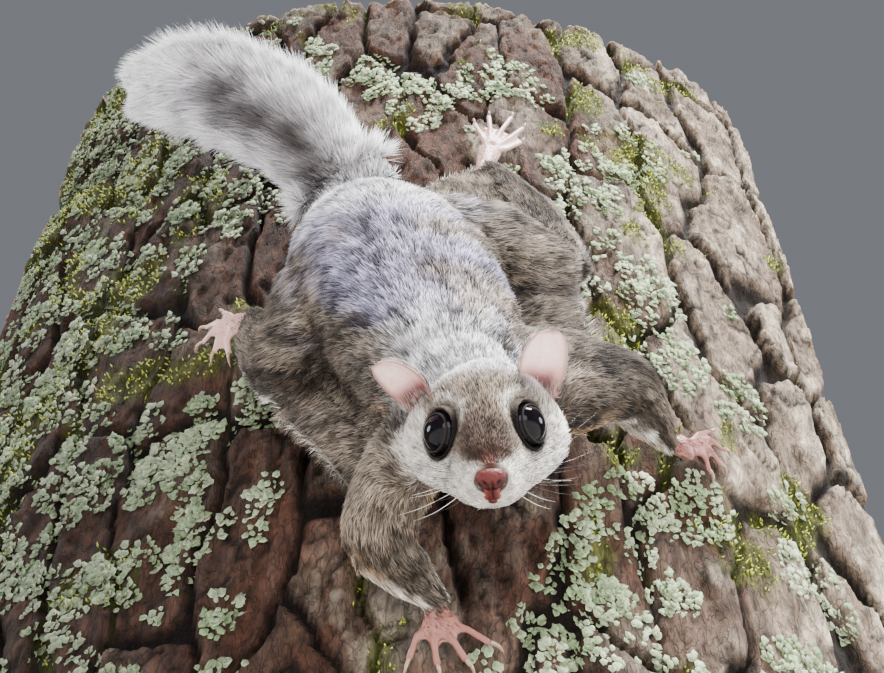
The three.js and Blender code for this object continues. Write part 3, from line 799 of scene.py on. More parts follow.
def ear_mesh(root, tip, opening):
    axis = unit(tip - root)
    length = np.linalg.norm(tip - root)
    hollow = unit(opening - axis * (opening @ axis))
    side = np.cross(axis, hollow)
    t, c = np.meshgrid(np.linspace(0, 1, EAR_ROWS), np.linspace(-1, 1, EAR_COLUMNS), indexing="ij")
    half = EAR_WIDTH / 2 * (0.66 + 0.34 * ramp(t, 0, 0.5)) * (1 - t**4.5 * 0.985) ** 0.5
    cup = -half * 0.62 * (1 - c**2) + length * 0.18 * t**2
    roll = 0.5 * ramp(np.abs(c), 0.8, 1) * ramp(t, 0.1, 0.5)
    fold = 0.35 * np.exp(-((c - 0.25 + 0.2 * t) / 0.12) ** 2) * (1 - ramp(t, 0.2, 0.75))
    fold += 0.25 * np.exp(-((c + 0.35) / 0.1) ** 2) * (1 - ramp(t, 0.1, 0.6))
    middle = (root + axis * (length * t)[..., None] + side * (half * c)[..., None]
              + hollow * (cup + fold - roll)[..., None])
    rim = np.minimum(1 - np.abs(c), 1 - t)
    thick = 0.12 + 0.3 * ramp(rim, 0, 0.15) * (1 - 0.4 * t)
    thick = thick + 0.14 * np.exp(-((rim - 0.03) / 0.03) ** 2)
    front = (middle + hollow * thick[..., None]).reshape(-1, 3)
    back = (middle - hollow * thick[..., None]).reshape(-1, 3)
    count = EAR_ROWS * EAR_COLUMNS
    grid = np.arange(count).reshape(EAR_ROWS, EAR_COLUMNS)
    a, b, d, e = grid[:-1, :-1], grid[:-1, 1:], grid[1:, :-1], grid[1:, 1:]
    face = np.vstack([np.stack(corners, -1).reshape(-1, 3) for corners in ((a, b, e), (a, e, d))])
    loop = np.concatenate([grid[0, :-1], grid[:-1, -1], grid[-1, :0:-1], grid[:0:-1, 0]])
    following = np.roll(loop, -1)
    wall = np.vstack([np.stack([loop, loop + count, following + count], -1),
                      np.stack([loop, following + count, following], -1)])
    triangles = np.vstack([face, face[:, ::-1] + count, wall])
    inside = np.concatenate([np.ones(count), np.zeros(count)])
    return np.vstack([front, back]), triangles, inside, np.tile(t.ravel(), 2), np.tile(c.ravel(), 2)


print("points on each side of an ear:", EAR_ROWS * EAR_COLUMNS)


# %% Colours of an ear, and both ears
def ear_colours(inside, t, c):
    pink = blend_colours(srgb(206, 150, 144), srgb(244, 222, 216), ramp(t, 0.2, 0.75))
    veins = 0.5 + 0.5 * np.sin(9 * c + 4 * t + 1.5 * np.sin(7 * t))
    pink = blend_colours(pink, srgb(226, 158, 150), veins**6 * 0.35)
    # The canal is red skin, with painted shade for its opening, which the mesh doesn't have.
    canal = (1 - ramp(t, 0.24, 0.5)) * (1 - ramp(np.abs(c + 0.1), 0.65, 1.05))
    pink = blend_colours(pink, srgb(84, 14, 22), canal)
    rim = np.maximum(ramp(np.abs(c), 0.72, 0.96), ramp(t, 0.9, 1))
    pink = blend_colours(pink, srgb(120, 78, 68), rim * 0.8)
    outside = blend_colours(srgb(140, 116, 112), srgb(196, 166, 160), ramp(t, 0.3, 0.95))
    return blend_colours(outside, pink, inside)


ears = []
for name, (root, tip, opening) in EARS.items():
    ear_points, ear_triangles, inside, t, c = ear_mesh(root, tip, opening)
    ear = mesh_piece(f"ear_skin_{name}", ear_points, ear_triangles)
    face_outwards(ear)
    paint(ear, ear_colours(inside, t, c))
    ear.data.materials.append(bare_material)
    ears.append(ear)
print("ears:", len(ears), "with", len(ears[0].data.vertices), "points each")

# %% [markdown]
# ## Finish the skin piece
# The ears join the body, and the whole skin gets one unwrap. Seams marked by hand would give a
# neater one, but no picture is painted on it, so a smart projection is enough. Each tuft of the
# coat will take its place on that unwrap from the point where it is rooted.

# %% Join the ears, unwrap, and choose bare skin
apply_modifier(skin, "TRIANGULATE")
skin.data.materials.clear()
skin.data.materials.append(skin_material)
skin.data.materials.append(bare_material)
body_count = len(skin.data.polygons)
skin.data.attributes.new(MARKING_AND_PAINTED_LIGHT, "FLOAT_COLOR", "POINT")
skin_centres = np.empty(body_count * 3, np.float32)
skin.data.polygons.foreach_get("center", skin_centres)
face_labels = nearest_region(skin_centres.reshape(-1, 3) / MM)
is_bare = share_of(face_labels, *sided("hand", "foot")) > 0.5
skin.data.polygons.foreach_set("material_index", is_bare.astype(np.int32))
body_points = len(skin.data.vertices)
skin = join([skin, *ears], "squirrel_skin")
skin.data.uv_layers.new(name="OFBake")
make_active(skin)
bpy.ops.object.mode_set(mode="EDIT")
bpy.ops.mesh.select_all(action="SELECT")
bpy.ops.uv.smart_project(angle_limit=math.radians(66), island_margin=0.001)
bpy.ops.object.mode_set(mode="OBJECT")
bpy.ops.object.shade_smooth()
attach(skin, "root")
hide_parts(*FLESH, "tail_brush", "ear_left", "ear_right")
print("skin:", len(skin.data.polygons), "triangles, of which ears",
      len(skin.data.polygons) - body_count)

# %% [markdown]
# ## Markings and painted light
# The back is grey-brown, the flanks and limbs are dark, a cream fringe runs along the bark, and
# the cheeks and muzzle are pale. Painted light goes into these colours too: a bluish sheen where
# the back faces away from the bark, near white on the nape, the back of the head and the rump,
# and painted shade that deepens the dark where the skin turns towards the bark. Node masks could
# draw this on the skin, but the tufts couldn't read them. So the colours are worked out at the
# points of the skin, and each tuft takes the colour of its root: skin and coat agree.

# %% Soft shares of the animal's parts
points = get_points(skin)
normals = get_normals(skin)
labels = nearest_region(points)
pairs = edge_pairs(skin)
EAR_POINTS = np.arange(len(points)) >= body_points


def soft_share(rounds, *names):
    return soften(share_of(labels, *names) * ~EAR_POINTS, pairs, rounds)


head_share = soft_share(30, "head")
lower_share = soft_share(16, *sided("forearm", "shin"))
arm_share = soft_share(16, *sided("forearm", "upper_arm"))
hand_share = soft_share(4, *sided("hand"))
foot_share = soft_share(4, *sided("foot"))
brush_share = soft_share(2, "tail_brush")
print("points of the head:", int(head_share.sum()), "of the tail:", int(brush_share.sum()))

# %% Places along and across the tail
brush_line = np.array([on_bark(x, z, h) for x, z, h, w, t in BRUSH])
brush_half = np.array([row[3] for row in BRUSH], float)


def outward_from_bark(points):
    out = points - [0, TRUNK_AXIS_Y, 0]
    out[:, 2] = 0
    return unit(out)


def tail_place(points):
    """Share of the way along the brush, distance across it, half width, and both directions."""
    fine = np.linspace(0, len(BRUSH) - 1, 80)
    i = np.clip(fine.astype(int), 0, len(BRUSH) - 2)
    f = (fine - i)[:, None]
    line = brush_line[i] * (1 - f) + brush_line[i + 1] * f
    half = brush_half[i] * (1 - f[:, 0]) + brush_half[i + 1] * f[:, 0]
    way = unit(np.gradient(line, axis=0))
    tree = KDTree(len(line))
    for k, p in enumerate(line):
        tree.insert(p, k)
    tree.balance()
    nearest = np.array([tree.find(p)[1] for p in points])
    across = unit(np.cross(way[nearest], TAIL_FACING))
    share = np.einsum("ij,ij->i", points - line[nearest], across)
    return nearest / (len(line) - 1), share, half[nearest], way[nearest], across


tail_along, tail_across, tail_half, tail_way, tail_side = tail_place(points)
facing_out = np.einsum("ij,ij->i", normals, outward_from_bark(points))
print("skin that faces away from the bark:", round(float((facing_out > 0).mean()), 2))

# %% Colours of the coat
BACK_GREY = srgb(132, 120, 107)
# Painted sheen: a bluish tint where the back faces away from the bark.
BACK_PAINTED_SHEEN = srgb(142, 138, 160)
# Painted light: a near white for the nape, the back of the head and the rump.
PAINTED_LIGHT_PALE = srgb(246, 244, 250)
# Dark colour of the flanks and limbs, also used as painted shade.
FLANK_DARK_AND_SHADE = srgb(44, 37, 31)
EDGE_CREAM = srgb(248, 240, 226)
BUFF = srgb(206, 168, 130)
BROW_GREY = srgb(136, 122, 108)
BRIDGE_DARK = srgb(60, 43, 36)
CHEEK_WHITE = srgb(238, 230, 218)
EYE_DARK = srgb(24, 19, 18)
TAIL_PALE = srgb(240, 235, 240)
TAIL_DARK = srgb(42, 34, 29)
PAW_PINK = srgb(130, 80, 70)
PAW_GREY = srgb(176, 138, 129)


print("back grey as linear light:", np.round(BACK_GREY, 3))


# %% Markings of the body, with painted sheen, light and shade
def body_colours():
    patch = noise(points, 8, 3) * 0.16 + noise(points, 3.2, 2) * 0.14
    f, l, c = to_head(points).T
    limb = soft_share(10, *sided("thigh", "shin", "upper_arm", "forearm"))
    torso = soft_share(16, "torso", "neck", "tail_root")
    # Painted sheen: the back takes a bluish tint where it faces away from the bark.
    painted_sheen_share = ramp(facing_out + noise(points, 9, 5) * 0.5, 0.55, 0.95) * torso
    colour = blend_colours(BACK_GREY, BACK_PAINTED_SHEEN, painted_sheen_share)
    # Painted light: the nape, and the rump from 243 mm up, pale towards near white.
    nape = np.exp(-(((f + 19) / 7) ** 2)) * (1 - limb) * (1 - ramp(np.abs(l), 10, 20))
    pale = nape * 0.9 + ramp(points[:, 2], 243, 262) * 0.65 * (1 - limb)
    colour = blend_colours(colour, PAINTED_LIGHT_PALE, np.clip(pale + patch * 0.6, 0, 1))
    # Dark flanks and limbs, deepened by painted shade where the skin turns towards the bark.
    turned_away_shade = 1 - ramp(facing_out + patch, 0.3, 0.82)
    dark = turned_away_shade * (0.8 - 0.3 * torso) + (1 - torso) * (0.5 + 3.6 * patch)
    dark = dark * (1 - 0.7 * soft_share(16, "thigh_left", "upper_arm_right")) * (1 - 0.8 * nape)
    dark = dark * (1 - 0.4 * soft_share(16, *sided("patagium")))
    colour = blend_colours(colour, FLANK_DARK_AND_SHADE, np.clip(dark, 0, 0.92))
    low = 1 - ramp(height_above_bark(points), 8, 14)
    fringe = (1 - ramp(facing_out + patch * 0.6, 0.06, 0.42)) * low
    colour = blend_colours(colour, EDGE_CREAM, fringe)
    buff = arm_share * (1 - ramp(facing_out, -0.1, 0.5)) * ramp(noise(points, 5, 12), -0.3, 0.5)
    return blend_colours(colour, BUFF, buff * 0.6)


body_marking_and_light = body_colours()
print("mean colour of the body:", np.round(body_marking_and_light.mean(0), 3))

# %% Markings of the head, with painted light
RED_BRIDGE = srgb(150, 84, 74)


def head_colours():
    f, l, c = to_head(points).T
    wander = noise(points, 4, 8)
    # Painted light: the back of the head pales towards near white.
    face = blend_colours(BROW_GREY, PAINTED_LIGHT_PALE, ramp(-f + wander * 1.5, 4, 14) * 0.95)
    bridge = (1 - ramp(np.abs(l) + wander * 0.8, 2.4, 6.6)) * ramp(f, -7, 8)
    face = blend_colours(face, BRIDGE_DARK, bridge * 0.9)
    cheek = ramp(np.abs(l) * 0.8 - c * 1.05 + wander, 7.0, 9.6)
    face = blend_colours(face, CHEEK_WHITE, cheek)
    muzzle = ramp(f + np.abs(l) * 1.1 - c * 0.9 + wander * 0.5, 14.0, 16.5)
    face = blend_colours(face, CHEEK_WHITE, muzzle * 0.95)
    for side in SIDES.values():
        centre, gaze = eye_centre(side), eye_gaze(side)
        away = np.linalg.norm(points - centre, axis=1)
        above = unit(points - centre) @ unit(HEAD_CROWN - gaze * (gaze @ HEAD_CROWN))
        brow = np.exp(-(((away - 6.6) / 0.6) ** 2)) * ramp(above, 0.45, 0.8)
        face = blend_colours(face, CHEEK_WHITE, brow * 0.9)
        wider = 0.45 * ramp(unit(points - centre) @ HEAD_FORWARD, 0, 0.6)
        face = blend_colours(face, EYE_DARK, 1 - ramp(away - wider, 4.9, 5.5))
    red_bridge = np.exp(-(((f - 12.6) / 1.6) ** 2) - (l / 1.5) ** 2) * ramp(c, -3, -1)
    return blend_colours(face, RED_BRIDGE, red_bridge * 0.4)


head_marking_and_light = head_colours()
print("mean colour of the head:", np.round(head_marking_and_light[head_share > 0.5].mean(0), 3))


# %% Markings of the tail, and of the whole skin
def tail_colours():
    wander = noise(points, 8, 4) * 2
    middle = np.exp(-(((tail_across + 2.5 + wander) / 6.5) ** 2))
    middle = middle * (1 - ramp(tail_along, 0.5, 0.84)) * (0.95 + 0.15 * noise(points, 4, 6))
    return blend_colours(TAIL_PALE, TAIL_DARK, np.clip(middle, 0, 0.96))


UNDERCOAT_SHADE = 0.45

colours = blend_colours(body_marking_and_light, head_marking_and_light, ramp(head_share, 0.25, 0.75))
colours = blend_colours(colours, tail_colours(), brush_share)
colours = blend_colours(colours, PAW_PINK, np.clip(hand_share * 1.6, 0, 1))
colours = blend_colours(colours, PAW_GREY, np.clip(foot_share * 1.6, 0, 1))
for column in range(3):
    colours[:, column] = soften(colours[:, column], pairs, 1)
coat_colours = colours.copy()
bare = np.clip(hand_share + foot_share, 0, 1)[:, None]
colours = colours * (UNDERCOAT_SHADE + (1 - UNDERCOAT_SHADE) * bare)
colours[body_points:] = np.vstack([ear_colours(*ear_mesh(*EARS[n])[2:]) for n in EARS])
paint(skin, colours)
print("marked", len(points), "skin points")

# %% [markdown]
# ## The lie of the coat
# Hair points away from the nose: back over the head, along the body, down each limb, and out
# and back from the tail's middle. It could be combed by hand. A few lines through the body carry
# the same directions and are easier to change: each place takes a blend of the lines near it.

# %% Lines that the hair follows
FLOW_LINES = [
    [on_head(13, 0, -3), on_head(4, 0, -1), on_head(-8, 0, 0), on_head(-18, 0, 0),
     *on_bark([12, 8, 3, -3, -8, -12], [212, 223, 238, 254, 268, 277],
              [21, 20, 19.5, 18.5, 16, 13])],
    on_bark([10, 3, -1, 4, 10.5], [200, 186, 177, 171, 167], [19, 17, 13, 8.5, 5.5]),
    on_bark([20, 40, 52, 59.5, 63], [212, 217, 222, 217, 213.5], [19, 16.5, 12, 8, 5.5]),
    on_bark([-5, -14, -21, -30, -33], [256, 240, 222, 233, 244], [19, 17.5, 13, 9.5, 7.5]),
    on_bark([2, 25, 38, 42, 36, 26], [256, 258, 256, 262, 281, 302], [19, 17, 13, 11.5, 10.5, 8]),
    on_bark([4, -9, -22], [225, 214, 206], [16, 10, 8]),
    on_bark([14, 30, 46], [232, 238, 243], [16, 11, 8]),
]
for side in SIDES.values():
    FLOW_LINES.append([on_head(11, side * 3, -5), on_head(4, side * 9, -6),
                       on_head(-5, side * 13, -7), on_head(-14, side * 13, -6)])
segments = np.vstack([np.stack([np.asarray(line)[:-1], np.asarray(line)[1:]], 1)
                      for line in FLOW_LINES])
print("flow segments:", len(segments))

# %% [markdown]
# Three places need more than the lines. Hair fans out across the tail, it grows up each ear from
# the root, and round the eyes it parts, so that no tuft lies over the eyeball. Each of these is
# a small correction to the lie, worked out from the distance to the ear or the eye.

# %% Lie of the coat
def level(lie, normals):
    """Directions turned to lie along the skin."""
    return unit(lie - normals * np.einsum("ij,ij->i", lie, normals)[:, None])


lie = np.zeros_like(points)
for start, end in segments:
    span = end - start
    t = np.clip((points - start) @ span / (span @ span), 0, 1)
    away = np.linalg.norm(points - start - t[:, None] * span, axis=1)
    lie += unit(span) / (away[:, None] + 1.5) ** 3
lie = unit(lie)
edge_share = np.clip(np.abs(tail_across) / (tail_half * CORE_SHARE), 0, 1)
spread = np.radians(6 + 50 * edge_share**1.3) * (1 - 0.4 * ramp(tail_along, 0.7, 1))
fan = (tail_way * np.cos(spread)[:, None]
       + tail_side * (np.sign(tail_across) * np.sin(spread))[:, None])
lie = lie * (1 - brush_share[:, None]) + fan * brush_share[:, None]
for root, tip, opening in EARS.values():
    at_ear = 1 - ramp(np.linalg.norm(points - root, axis=1), 4, 7.5)
    lie += unit(tip - root) * 1.5 * at_ear[:, None]
for side in SIDES.values():
    to_eye = eye_centre(side) - points
    beside = 1 - ramp(np.linalg.norm(to_eye, axis=1), 5.5, 8.5)
    inward = np.maximum(np.einsum("ij,ij->i", unit(lie), unit(to_eye)), 0) * beside
    lie = unit(lie) - unit(to_eye) * 1.2 * inward[:, None]
lie = level(lie, normals)
forehead = np.argmin(np.linalg.norm(points - on_head(0, 0, 8), axis=1))
print("lie on the forehead:", np.round(lie[forehead], 2))

# %% [markdown]
# ## Length and thickness of the coat
# Hair is shortest on the muzzle, round the eyes and on the paws, and longest on the tail. One
# length for all would bury the eyes and the toes. So each point of the skin gets the length,
# width and number of tufts there, from the parts of the animal near it.

# %% Coat measures
face_place = to_head(points)
eye_gap = np.min([np.linalg.norm(points - eye_centre(s), axis=1) for s in SIDES.values()], 0)
nose_gap = np.linalg.norm((face_place - NOSE_PLACE) / NOSE_RADII, axis=1)
lip_gap = np.linalg.norm((face_place - LIP_PLACE) / LIP_RADII, axis=1)
muzzle_share = ramp(face_place[:, 0], 1, 10) * head_share
near_eye = 1 - ramp(eye_gap, 5, 9)
far_back = ramp(-face_place[:, 0], 12, 50)
paw = np.clip(hand_share + foot_share, 0, 1)
wrist = np.clip(soft_share(40, *sided("hand", "foot")) * 2.5, 0, 1)
print("points near the eyes:", int((near_eye > 0).sum()), "on the paws:", int((paw > 0.5).sum()))

# %% Length, width and number of tufts
BODY_LENGTH, RUMP_EXTRA, LIMB_LENGTH, HEAD_LENGTH, PAW_LENGTH = 2.5, 1.2, 2.6, 2.4, 0.8
BODY_WIDTH, RUMP_EXTRA_WIDTH, LIMB_WIDTH, HEAD_WIDTH = 0.088, 0.016, 0.09, 0.082
BODY_PER_MM2, LIMB_PER_MM2, HEAD_PER_MM2, PAW_PER_MM2 = 8.6, 9.5, 14.5, 4
EYE_CLEARANCE, NOSE_CLEARANCE, LIP_CLEARANCE = 0.45, 1.1, 1.42


def by_part(body, lower, head):
    return (body * (1 - head_share) * (1 - lower_share) + lower * lower_share + head * head_share)


hair_length = by_part(BODY_LENGTH + RUMP_EXTRA * far_back, LIMB_LENGTH, HEAD_LENGTH)
hair_length = hair_length * (1 - 0.55 * muzzle_share) * (1 - 0.55 * near_eye * head_share)
hair_length = (hair_length * (1 - 0.5 * wrist)) * (1 - paw) + PAW_LENGTH * paw
hair_width = by_part(BODY_WIDTH + RUMP_EXTRA_WIDTH * far_back, LIMB_WIDTH, HEAD_WIDTH)
hair_width = hair_width * (1 - 0.3 * muzzle_share)
hair_width = hair_width * (1 - 0.45 * paw)
hair_count = by_part(BODY_PER_MM2, LIMB_PER_MM2, HEAD_PER_MM2) * (1 + 0.5 * muzzle_share)
hair_count = hair_count * (0.15 + 0.85 * ramp(facing_out, -0.4, 0.1))
hair_count = hair_count * (1 - paw)
hair_count += PAW_PER_MM2 * paw * ramp(height_above_bark(points), 3.4, 5)
clear = eye_gap > EYE_RADIUS + EYE_CLEARANCE
clear = clear & (nose_gap > NOSE_CLEARANCE) & (lip_gap > LIP_CLEARANCE)
hair_count = hair_count * (clear | (head_share < 0.5)) * ~EAR_POINTS * (1 - brush_share)
print("hair length from", round(hair_length.min(), 1), "to", round(hair_length.max(), 1), "mm")

# %% [markdown]
# ## Tufts
# One tuft is a slim closed spindle: a point sunk in the skin, a three-cornered ring where it is
# widest, and a tip. Particle hair would be easier to comb, but it isn't mesh, and is lost when
# the model is exported. All tufts of a piece are one joined mesh, of six triangles each, and
# each tuft has its own small patch on the skin's unwrap.

# %% Scatter roots over the skin
mesh = skin.data
tri = np.empty(len(mesh.polygons) * 3, np.int32)
mesh.loops.foreach_get("vertex_index", tri)
tri = tri.reshape(-1, 3)
skin_uv = np.empty(len(mesh.loops) * 2, np.float32)
mesh.uv_layers["OFBake"].data.foreach_get("uv", skin_uv)
skin_uv = skin_uv.reshape(-1, 3, 2)
corner = points[tri]
sides = np.cross(corner[:, 1] - corner[:, 0], corner[:, 2] - corner[:, 0])
areas = np.linalg.norm(sides, axis=1) / 2


class Roots:
    """Random places on the skin, and the values of the skin's points there."""

    def __init__(self, per_mm2, rng):
        weight = areas * per_mm2[tri].mean(1)
        count = int(weight.sum())
        face = np.searchsorted(np.cumsum(weight), rng.random(count) * weight.sum())
        self.face = np.clip(face, 0, len(weight) - 1)
        a, b = rng.random(count), rng.random(count)
        flip = a + b > 1
        a[flip], b[flip] = 1 - a[flip], 1 - b[flip]
        self.bary = np.stack([1 - a - b, a, b], 1)
        self.place = self.read(points)
        self.normal = unit(self.read(normals))
        self.uv = np.einsum("ij,ijk->ik", self.bary, skin_uv[self.face])

    def read(self, values):
        if values.ndim == 1:
            return np.einsum("ij,ij->i", self.bary, values[tri[self.face]])
        return np.einsum("ij,ijk->ik", self.bary, values[tri[self.face]])


print("skin area in cm2:", round(areas.sum() / 100, 1))

# %% Shape of a tuft
TUFT_FACES = np.array([[0, 2, 1], [0, 3, 2], [0, 1, 3], [1, 2, 4], [2, 3, 4], [3, 1, 4]])
TUFT_HEIGHTS = [0, 0.4, 0.4, 0.4, 1]
RING_ANGLES = [math.radians(angle) for angle in (90, 210, 330)]
FLATNESS = 0.55
ROOT_DEPTH = 0.25
DROOP = 0.9


def tuft_points(roots, way, length, width, lift, chosen):
    """Root, three ring points and tip of each chosen tuft, which bends down towards the skin."""
    place, normal = roots.place[chosen], roots.normal[chosen]
    way, length, width, lift = way[chosen], length[chosen], width[chosen], lift[chosen]
    rise = way * np.cos(lift)[:, None] + normal * np.sin(lift)[:, None]
    rest = lift * (1 - DROOP)
    bend = way * np.cos(rest)[:, None] + normal * np.sin(rest)[:, None]
    side = unit(np.cross(way, normal))
    up = unit(np.cross(side, rise))

    def at(s):
        return place + (rise * (s - s * s / 2) + bend * s * s / 2) * length[:, None]

    ring = [at(TUFT_HEIGHTS[1]) + side * (width * math.cos(a))[:, None]
            + up * (width * FLATNESS * math.sin(a))[:, None] for a in RING_ANGLES]
    return np.stack([place - rise * ROOT_DEPTH, *ring, at(1.0)], 1)


print("triangles of a tuft:", len(TUFT_FACES))

# %% [markdown]
# A tuft is darker at its root and paler at its tip, as banded hair is, and every few of them are
# dark all along, which gives the coat its grain. Where a piece would have more than 32,000 tufts,
# it is made as several pieces from the bottom to the top of the animal.

# %% Cover a part of the skin
TUFT_PATCH = 0.003
PATCH_CORNERS = np.array([[-0.5, 0], [0, 0.5], [0, 0.1], [0, -0.5], [0.5, 0]])
MOST_TUFTS = 32000
ROOT_SHADE, RING_SHADE, TIP_SHADE = 0.3, 0.74, 1.5
DARK_SHARE, DARK_TONE, DARKEST, PALEST = 0.16, 0.35, 0.12, 0.93
TUFT_SHADES = np.interp(TUFT_HEIGHTS, [0, 0.4, 1], [ROOT_SHADE, RING_SHADE, TIP_SHADE])


def tuft_tones(roots, contrast, rng):
    count = len(roots.place)
    tone = 1 + contrast * (0.8 * noise(roots.place, 0.8, 27) + 0.7 * noise(roots.place, 3.0, 28)
                           + rng.normal(0, 0.15, count))
    tone = np.where(rng.random(count) < DARK_SHARE * contrast, tone * DARK_TONE, tone)
    return roots.read(coat_colours) * np.maximum(tone, DARKEST)[:, None]


def coat_piece(name, shape, tips, places_on_skin):
    """One joined mesh of tufts, with its colours and its patches on the unwrap."""
    starts = np.arange(len(shape))[:, None, None] * shape.shape[1]
    triangles = (TUFT_FACES + starts).reshape(-1, 3)
    piece = mesh_piece(name, shape.reshape(-1, 3), triangles)
    shades = np.minimum(tips[:, None] * TUFT_SHADES[:, None], PALEST)
    paint(piece, shades.reshape(-1, 3))
    spots = (places_on_skin[:, None] + PATCH_CORNERS * TUFT_PATCH).reshape(-1, 2)
    layer = piece.data.uv_layers.new(name="OFBake")
    layer.data.foreach_set("uv", spots[triangles.ravel()].astype(np.float32).ravel())
    piece.data.materials.append(coat_material)
    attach(piece, "root")
    return piece


def add_coat(name, per_mm2, length, width, lift, seed, contrast=1.0, wave=0.25):
    """Covers part of the skin with tufts, in as many pieces as their number needs."""
    rng = np.random.default_rng(seed)
    roots = Roots(per_mm2, rng)
    count = len(roots.place)
    sway = np.stack([noise(roots.place, 2.6, 20 + k) + 0.6 * noise(roots.place, 7, 30 + k)
                     for k in range(3)], 1)
    way = level(roots.read(lie) + sway * wave + rng.normal(0, 0.1, (count, 3)), roots.normal)
    size = roots.read(length) * rng.uniform(0.7, 1.2, count)
    wide = roots.read(width) * rng.uniform(0.7, 1.3, count)
    angle = np.radians(lift + rng.normal(0, 6, count) + 5 * noise(roots.place, 3, 25))
    tips = tuft_tones(roots, contrast, rng)
    order = np.argsort(roots.place[:, 2], kind="stable")
    parts = np.array_split(order, max(1, math.ceil(count / MOST_TUFTS)))
    print(name, ":", count, "tufts in", len(parts), "pieces")
    return [coat_piece(f"{name}_{number}", tuft_points(roots, way, size, wide, angle, chosen),
                       tips[chosen], roots.uv[chosen])
            for number, chosen in enumerate(parts, 1)]


# %% The coat of head, body and tail
TAIL_MIDDLE_LENGTH, TAIL_EDGE_EXTRA, TAIL_WIDTH, TAIL_PER_MM2 = 5.2, 6.6, 0.11, 18.0
WIDEST_TAIL = 19

face_part = np.maximum(head_share - 0.02, 0) > 0.35
coat = add_coat("coat_head", hair_count * face_part, hair_length, hair_width, 14, 11,
                contrast=0.7, wave=0.16)
coat += add_coat("coat_body", hair_count * ~face_part, hair_length, hair_width, 17, 12,
                 contrast=1.15)
brush_length = TAIL_MIDDLE_LENGTH + TAIL_EDGE_EXTRA * edge_share
brush_length = brush_length * (0.75 + 0.25 * ramp(tail_along, 0, 0.25)) * tail_half / WIDEST_TAIL
brush_width = np.full(len(points), TAIL_WIDTH)
coat += add_coat("coat_tail", brush_share * TAIL_PER_MM2, brush_length, brush_width, 19, 13,
                 contrast=0.6, wave=0.16)
print("pieces of the coat so far:", len(coat))

# %% [markdown]
# The backs of the ears have very short, sparse hair, and a little of it stands before the canal.
# The ears are bare skin to the measures above, so they get a coat of their own.

# %% The coat of the ears
EAR_HAIR_LENGTH, EAR_HAIR_WIDTH, EAR_HAIR_PER_MM2 = 1.9, 0.06, 9
EAR_HAIR_GREY = srgb(178, 164, 156)

ear_hair = np.concatenate([np.zeros(body_points)] + [
    (1 - inside) * (1 - ramp(t, 0.75, 0.98)) * EAR_HAIR_PER_MM2
    + inside * (1 - ramp(t, 0.04, 0.24)) * EAR_HAIR_PER_MM2
    for inside, t in (ear_mesh(*EARS[n])[2:4] for n in EARS)])
coat_colours[body_points:] = EAR_HAIR_GREY
ear_axis = [unit(tip - root) for root, tip, opening in EARS.values()]
lie[body_points:] = np.repeat(ear_axis, EAR_ROWS * EAR_COLUMNS * 2, 0)
coat += add_coat("coat_ears", ear_hair, np.full(len(points), EAR_HAIR_LENGTH),
                 np.full(len(points), EAR_HAIR_WIDTH), 18, 14, wave=0.1)
print("coat triangles:", sum(len(p.data.polygons) for p in coat))

# %% [markdown]
# ## Claws
# Claws are horn, curved and sharp, and hook into the bark. A cone could be bent for each, but
# the tube of the tail's core does it too. Each claw is such a tube through four places, it
# follows the last joint of its toe, and all claws are joined as one piece.

# %% Claws
TOES = {  # x and z of the last joint and of the tip of each toe
    "hand_right": [(7.3, 160.5, 5.9, 156.5), (10.3, 159.4, 11.2, 155.5), (13.9, 159.8, 16.4, 156.7),
                   (16.5, 162.3, 21, 160.4)],
    "hand_left": [(72.8, 214, 73.8, 211.4), (74.4, 216.6, 77, 214.4), (75, 219.6, 78.8, 219.4),
                  (72.4, 220.4, 76.4, 224)],
    "foot_right": [(-41, 251.6, -43.6, 255), (-44, 249.6, -47.4, 250.4), (-44.6, 246.8, -47.4, 245),
                   (-43, 244.2, -43.8, 240.8), (-40.6, 243, -40, 239.6)],
    "foot_left": [(23.6, 328, 22, 336), (26.6, 331, 26.6, 341), (30, 331, 33.6, 342),
                  (32, 327, 37, 337), (31, 321.6, 36, 329)],
}
KNUCKLE_HEIGHT, TIP_HEIGHT, CLAW_REACH, CLAW_START = 3.4, 1.7, 2.9, 0.35
CLAW_STATIONS = [  # share of the reach, rise, half width, half depth
    (0, 0, 0.42, 0.55), (0.45, 0.35, 0.34, 0.45), (0.8, -0.15, 0.2, 0.26), (1, -0.85, 0.05, 0.06)]
claw_material, tree, shader = new_material("horn_claw", 0.28)
horn = colour_ramp(tree, noise_node(tree, coordinates(tree), 1800), [
    (0.2, srgb(96, 72, 60)), (0.8, srgb(188, 160, 138))])
tree.links.new(horn, shader.inputs["Base Color"])


def merged(parts):
    """Joins lists of points and triangles into one."""
    points, triangles, start = [], [], 0
    for p, t in parts:
        points.append(p)
        triangles.append(np.asarray(t) + start)
        start += len(p)
    return np.vstack(points), np.vstack(triangles)


claw_parts = []
for toes in TOES.values():
    for x0, z0, x1, z1 in toes:
        bend, end = on_bark(x0, z0, KNUCKLE_HEIGHT), on_bark(x1, z1, TIP_HEIGHT)
        way, up = unit(end - bend), outward_from_bark(end[None])[0]
        start = end + way * CLAW_START + up * CLAW_START
        claw_parts.append(tube(
            [[start + way * CLAW_REACH * share + up * rise, half_width, half_depth]
             for share, rise, half_width, half_depth in CLAW_STATIONS], 8, up, steps=3))
claws = mesh_piece("claws", *merged(claw_parts))
claws.data.materials.append(claw_material)
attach(claws, "root")
print("claws:", len(claw_parts))

# %% [markdown]
# ## Whiskers
# Long whiskers spring in rows from the sides of the muzzle, mostly dark above and pale below.
# Flat strips would vanish when seen edge on, so each is a thin closed tube that tapers and bows
# back.

